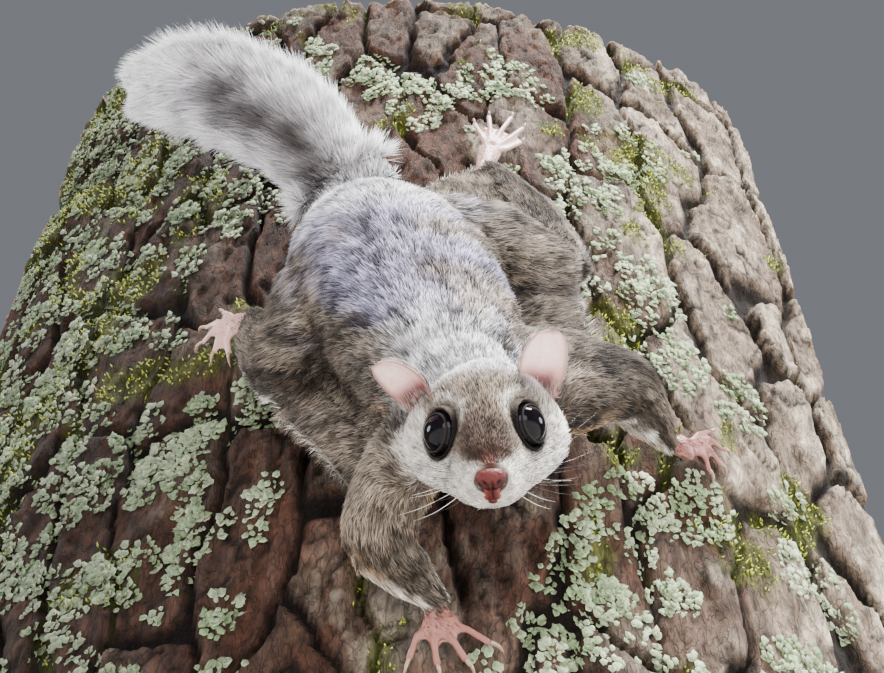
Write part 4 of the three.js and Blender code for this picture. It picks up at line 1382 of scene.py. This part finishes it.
# %% Whiskers
WHISKER_ROWS, WHISKERS_PER_ROW = 4, 5
WHISKER_DARK, WHISKER_PALE = srgb(40, 34, 32), srgb(228, 222, 214)
whisker_material, tree, shader = new_material("whisker_hair", 0.35)
tree.links.new(marking_and_light_colour(tree), shader.inputs["Base Color"])
whisker_parts, whisker_colours = [], []
rng = np.random.default_rng(19)
for side in SIDES.values():
    for row in range(WHISKER_ROWS):
        for number in range(WHISKERS_PER_ROW):
            root = on_head(11.2 - number * 1.1, side * (3.6 + number * 0.75), -3.2 - row * 1.05)
            length = rng.uniform(12, 24) * (0.75 + 0.07 * number)
            out = head_way(0.25 - 0.22 * number - rng.uniform(0, 0.2), side * rng.uniform(0.8, 1.1),
                           0.15 - 0.3 * row + rng.uniform(-0.12, 0.12))
            back = head_way(-0.75, side * 0.4, -0.12 * row)
            line = [root + out * length * s + (back - out) * length * 0.35 * s * s
                    for s in (0, 0.3, 0.6, 1.0)]
            sizes = (0.055, 0.045, 0.032, 0.012)
            part = tube([[p, w, w] for p, w in zip(line, sizes)], 4, HEAD_CROWN, steps=3)
            whisker_parts.append(part)
            dark = row < WHISKER_ROWS - 1 or rng.random() < 0.3
            shade = WHISKER_DARK if dark else WHISKER_PALE
            whisker_colours.append(np.tile(shade, (len(part[0]), 1)))
whiskers = mesh_piece("whiskers", *merged(whisker_parts))
paint(whiskers, np.vstack(whisker_colours))
whiskers.data.materials.append(whisker_material)
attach(whiskers, "root")
print("whiskers:", len(whisker_parts))

# %% [markdown]
# ## Bark
# The perch is a slab of trunk, sawn at its ends, sides and back. A Displace modifier could raise
# its face from a texture, but then nothing else could ask how high the bark is, and lichen and
# moss must sit on it. So the height is a function of the place: plates between furrows, thin
# layers that flake off, and grain along the trunk. Both come from scattered cells and noise.

# %% Sizes of the bark, and scattered cells
SLAB_HALF_WIDTH = 125
SLAB_BOTTOM_Z, SLAB_TOP_Z, SLAB_BACK_Y = 75, 420, 28
FURROW_DEPTH = 4.6
PLATE_SIZE, FLAKE_SIZE = (19, 52), (6.5, 15)  # across and along the trunk
GRIP_PLACES = np.array([(12, 161), (73, 217), (-42, 248), (29, 328)], float)  # under the paws
CALM_START, CALM_END = 6, 13
CELL_SCATTER = 0.42
HIGHEST_BARK = 0.6
FACE_COLUMNS, FACE_ROWS = 246, 336


def cells(x, z, size, seed):
    """Width of the gap to the next of scattered cells, in mm, and a value of the cell itself."""
    u, v = x / size[0], z / size[1]
    column, row = np.floor(u).astype(np.int64), np.floor(v).astype(np.int64)
    near, following, value = np.full(x.shape, 9.0), np.full(x.shape, 9.0), np.zeros(x.shape)
    for i in (-1, 0, 1):
        for j in (-1, 0, 1):
            c, r = column + i, row + j
            away = np.hypot(u - c - 0.5 - CELL_SCATTER * lattice(c, r, np.int64(1), seed),
                            v - r - 0.5 - CELL_SCATTER * lattice(c, r, np.int64(2), seed))
            closer = away < near
            following = np.where(closer, near, np.minimum(following, away))
            value = np.where(closer, lattice(c, r, np.int64(3), seed), value)
            near = np.minimum(near, away)
    return (following - near) * size[0], value


print("plates across the slab: about", round(2 * SLAB_HALF_WIDTH / PLATE_SIZE[0]))


# %% Height of the bark
def bark_relief(x, z):
    """Height of the bark over its crown surface, and how deep in a furrow each place lies."""
    p = np.stack([x, np.zeros_like(x), z], -1)
    x1 = x + 3.4 * rough_noise(p * [1, 1, 0.6], 15, 4, 40) + 5 * noise(p * [1, 1, 0.5], 60, 46)
    z1 = z + 5.0 * rough_noise(p, 17, 4, 47)
    gap, plate = cells(x1, z1, PLATE_SIZE, 5)
    width = 2.8 + 2.0 * noise(p, 24, 41)
    furrow = 1 - ramp(gap, 0.3, np.maximum(width, 1.3))
    small_gap, flake = cells(x1 + 1.2 * noise(p, 4, 48), z1, FLAKE_SIZE, 9)
    crack = 1 - ramp(small_gap, 0.1, 1.5)
    crack = crack * (0.25 + 0.45 * ramp(flake + noise(p, 9, 49), -0.3, 0.5))
    hollow = np.clip(np.maximum(furrow, crack), 0, 1)
    layers = 1.6 * rough_noise(p * [1, 1, 0.45], 9, 4, 44) + 1.2
    step = np.floor(layers) + ramp(layers - np.floor(layers), 0.4, 0.52)
    grain = 0.65 * rough_noise(p * [1, 1, 0.35], 3.4, 3, 45)
    height = -FURROW_DEPTH * furrow - 1.3 * crack * (1 - furrow)
    height += (0.85 * (step - 2) + 0.8 * plate + 0.4 * flake + grain) * (1 - 0.5 * hollow) - 0.8
    calm = np.zeros_like(x)
    for gx, gz in GRIP_PLACES:
        away = np.hypot(x - gx, (z - gz) * 0.8)
        calm = np.maximum(calm, 1 - ramp(away, CALM_START, CALM_END))
    height = height * (1 - 0.75 * calm) + 0.1 * calm
    return np.minimum(height, HIGHEST_BARK), hollow * (1 - 0.6 * calm)


def bark_face(x, z):
    height, hollow = bark_relief(x, z)
    return on_bark(x, z, height), hollow, height


across = np.linspace(-SLAB_HALF_WIDTH, SLAB_HALF_WIDTH, FACE_COLUMNS)
upward = np.linspace(SLAB_BOTTOM_Z, SLAB_TOP_Z, FACE_ROWS)
grid_x, grid_z = np.meshgrid(across, upward)
face, hollow, height = bark_face(grid_x, grid_z)
face[..., 1] = np.minimum(face[..., 1], SLAB_BACK_Y - 2)
print("bark from", round(height.min(), 1), "to", round(height.max(), 1), "mm over the crown")

# %% [markdown]
# The slab is closed by four walls from the edges of the face to the flat back. A Solidify
# modifier would make the back as rough as the face, so each wall is a sheet of its own, drawn
# straight back from the edge. The open back is filled in edit mode.


# %% Walls of the slab
WALL_ROWS = 7


def sheet_triangles(rows, columns, turned=False):
    grid = np.arange(rows * columns).reshape(rows, columns)
    a, b, d, e = (g.ravel() for g in (grid[:-1, :-1], grid[:-1, 1:], grid[1:, :-1], grid[1:, 1:]))
    triangles = np.vstack([np.stack([a, b, e], -1), np.stack([a, e, d], -1)])
    return triangles[:, ::-1] if turned else triangles


def back_of(points):
    return np.stack([points[..., 0], np.full(points.shape[:-1], SLAB_BACK_Y), points[..., 2]], -1)


def wall(border):
    share = np.linspace(0, 1, WALL_ROWS)[:, None, None]
    return border[None] * (1 - share) + back_of(border)[None] * share


bark_parts = [(face.reshape(-1, 3), sheet_triangles(*face.shape[:2]))]
sheets = [(wall(face[0]), True), (wall(face[-1]), False), (wall(face[:, 0]), False),
          (wall(face[:, -1]), True)]
for sheet, turned in sheets:
    bark_parts.append((sheet.reshape(-1, 3), sheet_triangles(*sheet.shape[:2], turned)))
front_count = face.shape[0] * face.shape[1]
front_triangles = len(bark_parts[0][1])
print("bark face points:", front_count)

# %% [markdown]
# The slab's surface is coloured like real bark: red-brown in the furrows, weathered grey and
# beige on the plates, paler to the right and mossy to the left. Painted shade takes the deep
# furrows almost to black and darkens the left of the slab. Nodes could mix these from noise
# alone, but the colours must know where the furrows are, so they are worked out at the points of
# the face, beside its height.

# %% Colours of the bark
BARK_BROWN = srgb(80, 58, 46)
BARK_RED = srgb(92, 56, 42)
BARK_FURROW_SHADE = srgb(16, 11, 9)
BARK_GREY = srgb(136, 123, 108)
BARK_BEIGE = srgb(226, 208, 184)
ALGAE_GREEN = srgb(96, 104, 40)


def moss_share(x, z, hollow):
    """Where moss grows: most on the left, in hollows, and in a few carpets on the right."""
    p = np.stack([x, np.zeros_like(x), z], -1)
    left = rough_noise(p, 20, 4, 70) + 0.35 * hollow - (x + 62) / 130
    right = rough_noise(p * [1, 1, 0.7], 15, 3, 71) + 0.2 * hollow - np.abs(x - 78) / 60
    return np.maximum(ramp(left, 0.3, 0.75), ramp(right, 0.1, 0.45))


def bark_colour(x, z, hollow, height):
    p = np.stack([x, np.zeros_like(x), z], -1)
    weather = ramp(rough_noise(p * [1, 1, 0.5], 13, 5, 50) + x / 150, -0.35, 0.8)
    colour = blend_colours(BARK_BROWN, BARK_GREY, weather)
    pale = ramp(rough_noise(p * [1, 1, 0.4], 22, 4, 52) + (x - 56) / 34, -0.2, 0.6)
    colour = blend_colours(colour, BARK_BEIGE, pale * 0.85)
    red = ramp(rough_noise(p, 11, 4, 53), 0.0, 0.6) * (1 - 0.7 * pale)
    colour = blend_colours(colour, BARK_RED, np.clip(red + ramp(-height, 1.2, 2.4), 0, 1) * 0.6)
    # Painted shade: the deep furrows go almost black.
    colour = blend_colours(colour, BARK_FURROW_SHADE, ramp(hollow, 0.2, 0.75) * 0.93)
    colour = blend_colours(colour, ALGAE_GREEN, moss_share(x, z, hollow) * 0.75)
    # Painted shade: the bark darkens towards the left of the slab.
    left_shade = 1 - 0.6 * ramp(-x, 0, 75)
    mottle = 1 + 0.5 * rough_noise(p * [1, 1, 0.6], 2.6, 3, 56)
    return colour * (0.6 * left_shade * np.maximum(mottle, 0.25))[..., None]


print("share of moss on the face:", round(float(moss_share(grid_x, grid_z, hollow).mean()), 2))

# %% [markdown]
# Between its points the bark has finer cracks than the mesh can carry. More points would pass the
# limit on triangles, so a Voronoi pattern with wandering edges draws them, dark in the colour and
# sunk in the bump. It is stretched along the trunk, as bark is.

# %% Bark finish
def rough_bark_material():
    material, tree, shader = new_material("rough_bark", 0.9, Specular_IOR_Level=0.2)
    vector = coordinates(tree, (1, 1, 0.42))
    wobble = tree.nodes.new("ShaderNodeTexNoise")
    wobble.inputs["Scale"].default_value = 420
    tree.links.new(vector, wobble.inputs["Vector"])
    shift = tree.nodes.new("ShaderNodeVectorMath")
    shift.operation = "MULTIPLY_ADD"
    shift.inputs[1].default_value = (0.006, 0.006, 0.006)
    tree.links.new(wobble.outputs["Color"], shift.inputs[0])
    tree.links.new(vector, shift.inputs[2])
    crack = tree.nodes.new("ShaderNodeTexVoronoi")
    crack.feature = "DISTANCE_TO_EDGE"
    crack.inputs["Scale"].default_value = 330
    tree.links.new(shift.outputs["Vector"], crack.inputs["Vector"])
    line = colour_ramp(tree, crack.outputs["Distance"], [(0.0, (0.4,) * 3), (0.07, (1.0,) * 3)])
    fine = noise_node(tree, vector, 700, detail=7, roughness=0.72)
    tone = colour_ramp(tree, fine, [(0.3, (0.3,) * 3), (0.72, (1.75,) * 3)])
    colour = mix(tree, "MULTIPLY", 1.0, marking_and_light_colour(tree), tone)
    tree.links.new(mix(tree, "MULTIPLY", 0.8, colour, line), shader.inputs["Base Color"])
    bump(tree, shader, mix(tree, "MULTIPLY", 0.8, fine, line), 1.0, 1.6 * MM)
    return material


bark_material = rough_bark_material()
print("material:", bark_material.name)

# %% [markdown]
# The sawn faces show the trunk's growth rings, as circles at the ends and as stripes on the sides
# and back. A wave texture in rings round the trunk's axis gives all of them at once, as real wood
# does, and fine fibres run along the trunk.

# %% Sawn wood finish
wood_material, tree, shader = new_material("sawn_wood", 0.75)
rings = tree.nodes.new("ShaderNodeTexWave")
rings.wave_type = "RINGS"
rings.rings_direction = "Z"
rings.inputs["Scale"].default_value = 60
rings.inputs["Distortion"].default_value = 1.5
rings.inputs["Detail"].default_value = 3
centred = coordinates(tree, (1, 1, 0.02), (0, -TRUNK_AXIS_Y * MM, 0))
tree.links.new(centred, rings.inputs["Vector"])
grown = colour_ramp(tree, rings.outputs["Fac"], [
    (0.0, srgb(206, 172, 128)), (0.75, srgb(188, 148, 104)), (1.0, srgb(146, 104, 70))])
fibre = noise_node(tree, coordinates(tree, (1, 1, 0.06)), 1400)
fibre_tone = colour_ramp(tree, fibre, [(0.3, (0.8,) * 3), (0.7, (1.1,) * 3)])
tree.links.new(mix(tree, "MULTIPLY", 1.0, grown, fibre_tone), shader.inputs["Base Color"])
bump(tree, shader, fibre, 0.6, 0.2 * MM)
print("material:", wood_material.name)

# %% Bark piece
SAWN_TONE = srgb(150, 120, 90)

bark = mesh_piece("bark_slab", *merged(bark_parts))
colours = np.tile(SAWN_TONE, (len(bark.data.vertices), 1))
colours[:front_count] = bark_colour(grid_x, grid_z, hollow, height).reshape(-1, 3)
paint(bark, colours)
bark.data.materials.append(bark_material)
bark.data.materials.append(wood_material)
sawn = np.arange(len(bark.data.polygons)) >= front_triangles
bark.data.polygons.foreach_set("material_index", sawn.astype(np.int32))
make_active(bark)
bpy.ops.object.mode_set(mode="EDIT")
bpy.ops.mesh.select_all(action="SELECT")
bpy.ops.mesh.remove_doubles(threshold=1e-6)
bpy.ops.mesh.select_all(action="SELECT")
bpy.ops.mesh.fill_holes(sides=0)
bpy.ops.mesh.select_all(action="SELECT")
bpy.ops.mesh.normals_make_consistent(inside=False)
bpy.ops.object.mode_set(mode="OBJECT")
bark.data.polygons[len(bark.data.polygons) - 1].material_index = 1
apply_modifier(bark, "TRIANGULATE")
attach(bark, "root")
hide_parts("perch_trunk_slab")
print("bark:", len(bark.data.polygons), "triangles")

# %% [markdown]
# ## Lichen and moss
# Pale green leafy lichen grows in rosettes of small lobes, thick on the left of the trunk and in
# patches elsewhere. A bump or a colour could hint at it, but its curled lobes catch the light
# and cast shadows, so every lobe is a small closed mesh, and all are joined.

# %% Places of the lichen
EDGE_KEPT_CLEAR = 3
GROWTH_HALF_WIDTH = SLAB_HALF_WIDTH - EDGE_KEPT_CLEAR
GROWTH_BOTTOM, GROWTH_TOP = SLAB_BOTTOM_Z + EDGE_KEPT_CLEAR, SLAB_TOP_Z - EDGE_KEPT_CLEAR
LICHEN_PATCHES = [  # x, z, reach: patches that stand out
    (36, 300, 15), (55, 318, 12), (62, 276, 14), (70, 250, 9), (52, 190, 14), (68, 202, 9),
    (38, 172, 11), (88, 240, 8), (60, 150, 12), (86, 160, 10), (10, 352, 17), (34, 366, 15),
    (68, 340, 13), (-6, 372, 13), (24, 150, 8), (44, 262, 8), (96, 190, 8),
]
LOBES_PER_MM2 = 0.66
ROSETTE_TRIES = 5200
LICHEN_GREEN, LICHEN_PALE = srgb(134, 158, 112), srgb(186, 200, 166)


def lichen_rosettes(rng):
    """Centres and reaches of rosettes: in the named patches, and densely to the left."""
    found = []
    for x, z, reach in LICHEN_PATCHES:
        number = int(reach * 1.1)
        away, turn = reach * np.sqrt(rng.random(number)), rng.uniform(0, 2 * np.pi, number)
        found.append(np.stack([x + away * np.cos(turn), z + 1.25 * away * np.sin(turn),
                               rng.uniform(2.2, 4.6, number)], 1))
    x = rng.uniform(-GROWTH_HALF_WIDTH, GROWTH_HALF_WIDTH, ROSETTE_TRIES)
    z = rng.uniform(GROWTH_BOTTOM, GROWTH_TOP, ROSETTE_TRIES)
    p = np.stack([x, np.zeros(ROSETTE_TRIES), z], 1)
    wanted = ramp(rough_noise(p, 15, 4, 60) - (x + 40) / 50, 0.0, 0.8) * 0.6
    wanted = np.maximum(wanted, 0.05 * ramp(rough_noise(p, 12, 3, 61), 0.3, 0.7))
    keep = rng.random(ROSETTE_TRIES) < wanted
    found.append(np.stack([x[keep], z[keep], rng.uniform(1.6, 4.4, keep.sum())], 1))
    return np.vstack(found)


def lichen_lobes(rosettes, rng):
    """Places of the lobes, the way each points, its size, and the tint of its rosette."""
    rows = []
    for x, z, reach in rosettes:
        number = max(3, int(reach**2 * math.pi * LOBES_PER_MM2))
        away, turn = reach * np.sqrt(rng.random(number)), rng.uniform(0, 2 * np.pi, number)
        way = turn + rng.normal(0, 0.5, number)
        size = rng.uniform(0.55, 1.15, number) * (0.75 + 0.45 * away / reach)
        rows.append(np.stack([x + away * np.cos(turn), z + away * np.sin(turn), way, size,
                              np.full(number, rng.random())], 1))
    lobes = np.vstack(rows)
    x, z = lobes[:, 0], lobes[:, 1]
    on_face = (np.abs(x) < GROWTH_HALF_WIDTH + 1) & (z > GROWTH_BOTTOM - 1) & (z < GROWTH_TOP + 1)
    return lobes[on_face]


rng = np.random.default_rng(31)
rosettes = lichen_rosettes(rng)
lobes = lichen_lobes(rosettes, rng)
print("rosettes:", len(rosettes), "lobes:", len(lobes))


# %% Lichen
def lobe_mesh(lobes, rng, sides=7):
    """Closed leafy lobes: a notched rim that curls up, over a middle that sits on the bark."""
    count = len(lobes)
    base, _, _ = bark_face(lobes[:, 0], lobes[:, 1])
    out = outward_from_bark(base)
    up = np.tile([0, 0, 1.0], (count, 1))
    side = np.cross(up, out)
    angle = np.linspace(0, 2 * np.pi, sides, endpoint=False) + lobes[:, [2]]
    forward = np.cos(angle - lobes[:, [2]])
    reach = lobes[:, [3]] * (0.85 + 0.35 * forward) * rng.uniform(0.55, 1.3, (count, sides))
    lift = lobes[:, [3]] * rng.uniform(0.1, 0.75, (count, sides)) * (0.6 + 0.4 * forward) + 0.15
    rim = (base[:, None] + side[:, None] * (reach * np.cos(angle))[..., None]
           + up[:, None] * (reach * np.sin(angle))[..., None] + out[:, None] * lift[..., None])
    middle = base + out * 0.22
    under = base - out * 0.5
    points = np.concatenate([rim, middle[:, None], under[:, None]], 1)
    k = np.arange(sides)
    n = (k + 1) % sides
    local = np.vstack([np.stack([k, n, np.full(sides, sides)], 1),
                       np.stack([n, k, np.full(sides, sides + 1)], 1)])
    triangles = (local[None] + (np.arange(count) * (sides + 2))[:, None, None]).reshape(-1, 3)
    leaf = blend_colours(LICHEN_GREEN, LICHEN_PALE, lobes[:, 4])
    # Painted shade: lobes darken towards the left of the slab, and each lobe's middle, where it
    # meets the bark, is darker than its rim.
    leaf = leaf * rng.uniform(0.7, 1.12, (count, 1)) * (1 - 0.6 * ramp(-lobes[:, [0]], 0, 70))
    shade = np.concatenate([rng.uniform(0.7, 1.15, (count, sides)), np.full((count, 2), 0.36)], 1)
    colours = leaf[:, None] * shade[..., None] * [1, 1, 0.96]
    return points.reshape(-1, 3), triangles, colours.reshape(-1, 3)


lichen_material = marked_material("leafy_lichen", 1400, 0.2, 0.15, 0.85)
lobes = lobes[np.argsort(lobes[:, 0], kind="stable")]
for name, part in zip(SIDES, np.array_split(lobes, 2)):
    lichen_points, lichen_triangles, lichen_colours = lobe_mesh(part, rng)
    lichen = mesh_piece(f"lichen_{name}", lichen_points, lichen_triangles, smooth=False)
    paint(lichen, lichen_colours)
    lichen.data.materials.append(lichen_material)
    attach(lichen, "root")
    print(lichen.name, "lobes:", len(part), "triangles:", len(lichen.data.polygons))

# %% [markdown]
# Moss fills the hollows of the bark with short pointed leaves. It could be one bumpy carpet, but
# at this size single leaves show at its edges. Each leaf has the shape of a tuft of the coat: a
# root, a three-cornered ring and a tip.

# %% Moss
MOSS_TRIES = 46000
MOSS_YELLOW, MOSS_GREEN = srgb(196, 200, 48), srgb(110, 128, 30)
MOSS_LEAF_RADIUS = 0.3
MOSS_TURNS = (0, 2.09, 4.19)
MOSS_SHADES = np.array([0.25, 0.6, 0.6, 0.6, 1.1])


def moss_mesh(rng):
    x = rng.uniform(-GROWTH_HALF_WIDTH, GROWTH_HALF_WIDTH, MOSS_TRIES)
    z = rng.uniform(GROWTH_BOTTOM, GROWTH_TOP, MOSS_TRIES)
    base, hollow, _ = bark_face(x, z)
    keep = rng.random(MOSS_TRIES) < moss_share(x, z, hollow) ** 1.5
    base = base[keep]
    count = len(base)
    out = outward_from_bark(base)
    way = unit(out + rng.normal(0, 0.55, (count, 3)) + [0, 0, 0.15])
    length = rng.uniform(0.8, 2.1, count)
    side = unit(np.cross(way, rng.normal(0, 1, (count, 3))))
    other = np.cross(way, side)
    root = base - out * 0.3
    ring = [root + (side * math.cos(a) + other * math.sin(a)) * MOSS_LEAF_RADIUS
            + way * (length * 0.5)[:, None] for a in MOSS_TURNS]
    points = np.stack([root, *ring, root + way * length[:, None]], 1)
    starts = (np.arange(count) * points.shape[1])[:, None, None]
    triangles = (TUFT_FACES[None] + starts).reshape(-1, 3)
    tip = blend_colours(MOSS_YELLOW, MOSS_GREEN, rng.random(count))
    # Painted shade: the moss darkens towards the left of the slab.
    tip = tip * (1 - 0.4 * ramp(-x[keep], 0, 70))[:, None]
    colours = tip[:, None] * MOSS_SHADES[:, None]
    return points.reshape(-1, 3), triangles, colours.reshape(-1, 3)


moss_material = marked_material("moss_leaf", 1200, 0.15, 0, 0.7)
moss_points, moss_triangles, moss_colours = moss_mesh(np.random.default_rng(43))
moss = mesh_piece("moss", moss_points, moss_triangles)
paint(moss, moss_colours)
moss.data.materials.append(moss_material)
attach(moss, "root")
print("moss triangles:", len(moss.data.polygons))

# %% [markdown]
# ## The stand
# The stand is a display maker's work: an oiled oak base with rounded corners and a moulded edge,
# and two satin steel rods with collars. First comes the finish of the oak: wavy grain along the
# board and dark pores. Bands of a wave texture, much distorted, look like it. A photograph of
# wood would need a file.

# %% Oak finish
oak_material, tree, shader = new_material("oiled_oak", 0.42, Coat_Weight=0.15, Coat_Roughness=0.3)
grain_vector = coordinates(tree, (1, 9, 9))
wave = tree.nodes.new("ShaderNodeTexWave")
wave.bands_direction = "Y"
wave.inputs["Scale"].default_value = 12
wave.inputs["Distortion"].default_value = 9
wave.inputs["Detail"].default_value = 4
wave.inputs["Detail Scale"].default_value = 1.4
tree.links.new(grain_vector, wave.inputs["Vector"])
board = colour_ramp(tree, wave.outputs["Fac"], [
    (0.0, srgb(168, 122, 76)), (0.6, srgb(146, 100, 58)), (1.0, srgb(112, 72, 40))])
pores = noise_node(tree, coordinates(tree, (0.08, 1, 1)), 2600)
pore_tone = colour_ramp(tree, pores, [(0.35, (0.7,) * 3), (0.6, (1.08,) * 3)])
tree.links.new(mix(tree, "MULTIPLY", 1.0, board, pore_tone), shader.inputs["Base Color"])
bump(tree, shader, pores, 0.5, 0.1 * MM)
print("material:", oak_material.name)

# %% [markdown]
# The base is a cube shaped in edit mode, as by hand: it is stretched to its size, its upright
# edges are rounded, and then its top and bottom edges. A Bevel modifier would give all edges the
# same width, so each group is selected by its place and beveled by itself.

# %% Stand base
BASE_WIDTH, BASE_DEPTH, BASE_THICKNESS, BASE_CORNER = 220, 140, 12, 14
TOP_MOULDING, BOTTOM_EASING = 2.6, 0.6


def select_edges(piece, wanted):
    """Selects the edges that a test on their two ends accepts, in edit mode."""
    shape = bmesh.from_edit_mesh(piece.data)
    for part in (*shape.verts, *shape.edges, *shape.faces):
        part.select = False
    bpy.ops.mesh.select_mode(type="EDGE")
    for edge in shape.edges:
        edge.select_set(wanted(*(v.co / MM for v in edge.verts)))
    bmesh.update_edit_mesh(piece.data)


deselect_all()
bpy.ops.mesh.primitive_cube_add(size=MM)
base = bpy.context.object
base.name = "base_board"
bpy.ops.object.mode_set(mode="EDIT")
bpy.ops.transform.resize(value=(BASE_WIDTH, BASE_DEPTH, BASE_THICKNESS))
bpy.ops.transform.translate(value=(0, 0, BASE_THICKNESS / 2 * MM))
select_edges(base, lambda a, b: abs(a.z - b.z) > 1)
bpy.ops.mesh.bevel(offset=BASE_CORNER * MM, segments=10, affect="EDGES")
select_edges(base, lambda a, b: a.z > BASE_THICKNESS - 0.1 and b.z > BASE_THICKNESS - 0.1)
bpy.ops.mesh.bevel(offset=TOP_MOULDING * MM, segments=6, profile=0.25, affect="EDGES")
select_edges(base, lambda a, b: a.z < 0.1 and b.z < 0.1)
bpy.ops.mesh.bevel(offset=BOTTOM_EASING * MM, segments=2, affect="EDGES")
bpy.ops.object.mode_set(mode="OBJECT")
bpy.ops.object.shade_smooth_by_angle(angle=math.radians(35))
base.data.materials.append(oak_material)
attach(base, "root")
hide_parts("stand_base")
print("base:", len(base.data.polygons), "faces")

# %% [markdown]
# Each rod is a cylinder that runs from the base into the slab, with a collar at its foot. The
# collar could be turned with the spin operator. A second cylinder with a Bevel modifier is
# quicker and looks the same. The steel is brushed along its length.

# %% Stand rods
ROD_RADIUS, ROD_SPACING, ROD_SINK = 6, 130, 3
COLLAR_RADIUS, COLLAR_HEIGHT, COLLAR_EDGE = 11, 4, 0.9
steel_material, tree, shader = new_material("satin_steel", 0.3, Metallic=1.0)
brushed = noise_node(tree, coordinates(tree, (1, 1, 0.03)), 3000)
tree.links.new(colour_ramp(tree, brushed, [(0.3, srgb(150, 150, 152)), (0.7, srgb(196, 196, 198))]),
               shader.inputs["Base Color"])
bump(tree, shader, brushed, 0.3, 0.05 * MM)

for name, side in SIDES.items():
    deselect_all()
    foot, head = BASE_THICKNESS, SLAB_BOTTOM_Z + ROD_SINK
    x = side * ROD_SPACING / 2
    bpy.ops.mesh.primitive_cylinder_add(
        vertices=48, radius=ROD_RADIUS * MM, depth=(head - foot) * MM,
        location=(x * MM, 0, (head + foot) / 2 * MM))
    rod = bpy.context.object
    bpy.ops.mesh.primitive_cylinder_add(
        vertices=48, radius=COLLAR_RADIUS * MM, depth=COLLAR_HEIGHT * MM,
        location=(x * MM, 0, (foot + COLLAR_HEIGHT / 2) * MM))
    collar = bpy.context.object
    apply_modifier(collar, "BEVEL", width=COLLAR_EDGE * MM, segments=4, limit_method="ANGLE")
    rod = join([rod, collar], f"rod_{name}")
    bpy.ops.object.transform_apply(location=True, rotation=True, scale=True)
    bpy.ops.object.shade_smooth_by_angle(angle=math.radians(35))
    rod.data.materials.append(steel_material)
    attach(rod, "root")
    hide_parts(f"stand_rod_{name}")
    print(rod.name, "from", foot, "to", head, "mm")

# %% [markdown]
# ## Floor and light
# A plain pale floor, as in a studio, large enough to reach behind the perch in every view. It is
# only a stage, and isn't part of the object.

# %% Floor
FLOOR_SIZE = 8
floor_material, tree, shader = new_material("pale_floor", 0.7)
tree.links.new(colour_ramp(tree, noise_node(tree, coordinates(tree), 30), [
    (0.3, srgb(214, 212, 208)), (0.7, srgb(222, 220, 216))]), shader.inputs["Base Color"])
deselect_all()
bpy.ops.mesh.primitive_plane_add(size=FLOOR_SIZE)
floor = bpy.context.object
floor.name = "floor"
floor.data.materials.append(floor_material)
floor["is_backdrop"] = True
print("floor:", FLOOR_SIZE, "m across")

# %% [markdown]
# The sky in the photograph lights the animal from above and from the front. A bright world alone
# would light it so, but without shade between the tufts. So the main light is a disk high in
# front, a little to the right, and weaker ones soften its shadows from the other sides.

# %% Lights
TARGET = Vector((0.01, -0.06, 0.24))
LIGHTS = [  # name, place in metres, width, watts, colour
    ("key_light", (0.4, -0.5, 1.5), 0.5, 112, (1.0, 0.99, 0.98)),
    ("front_light", (0.0, -1.5, 0.25), 0.9, 24, (1.0, 0.97, 0.94)),
    ("right_light", (1.15, -0.2, 0.6), 0.5, 20, (0.92, 0.94, 1.0)),
    ("left_light", (-1.1, -0.15, 0.6), 0.5, 16, (0.92, 0.94, 1.0)),
    ("back_light", (0.2, 0.9, 1.3), 0.8, 20, (0.96, 0.98, 1.0)),
]
WORLD_COLOUR, WORLD_STRENGTH = (0.85, 0.9, 1.0, 1), 0.22

for name, place, width, watts, colour in LIGHTS:
    bpy.ops.object.light_add(type="AREA", location=place)
    light = bpy.context.object
    light.name = name
    light.data.shape = "DISK"
    light.data.size = width
    light.data.energy = watts
    light.data.color = colour
    light.rotation_euler = (TARGET - light.location).to_track_quat("-Z", "Y").to_euler()
world = bpy.data.worlds.new("studio")
bpy.context.scene.world = world
world.use_nodes = True
background = world.node_tree.nodes["Background"]
background.inputs["Color"].default_value = WORLD_COLOUR
background.inputs["Strength"].default_value = WORLD_STRENGTH
print("lights:", len(LIGHTS))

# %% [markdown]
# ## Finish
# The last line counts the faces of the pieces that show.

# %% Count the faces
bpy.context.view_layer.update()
total = sum(len(o.data.loop_triangles) or len(o.data.polygons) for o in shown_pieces())
print("faces of the object:", total)
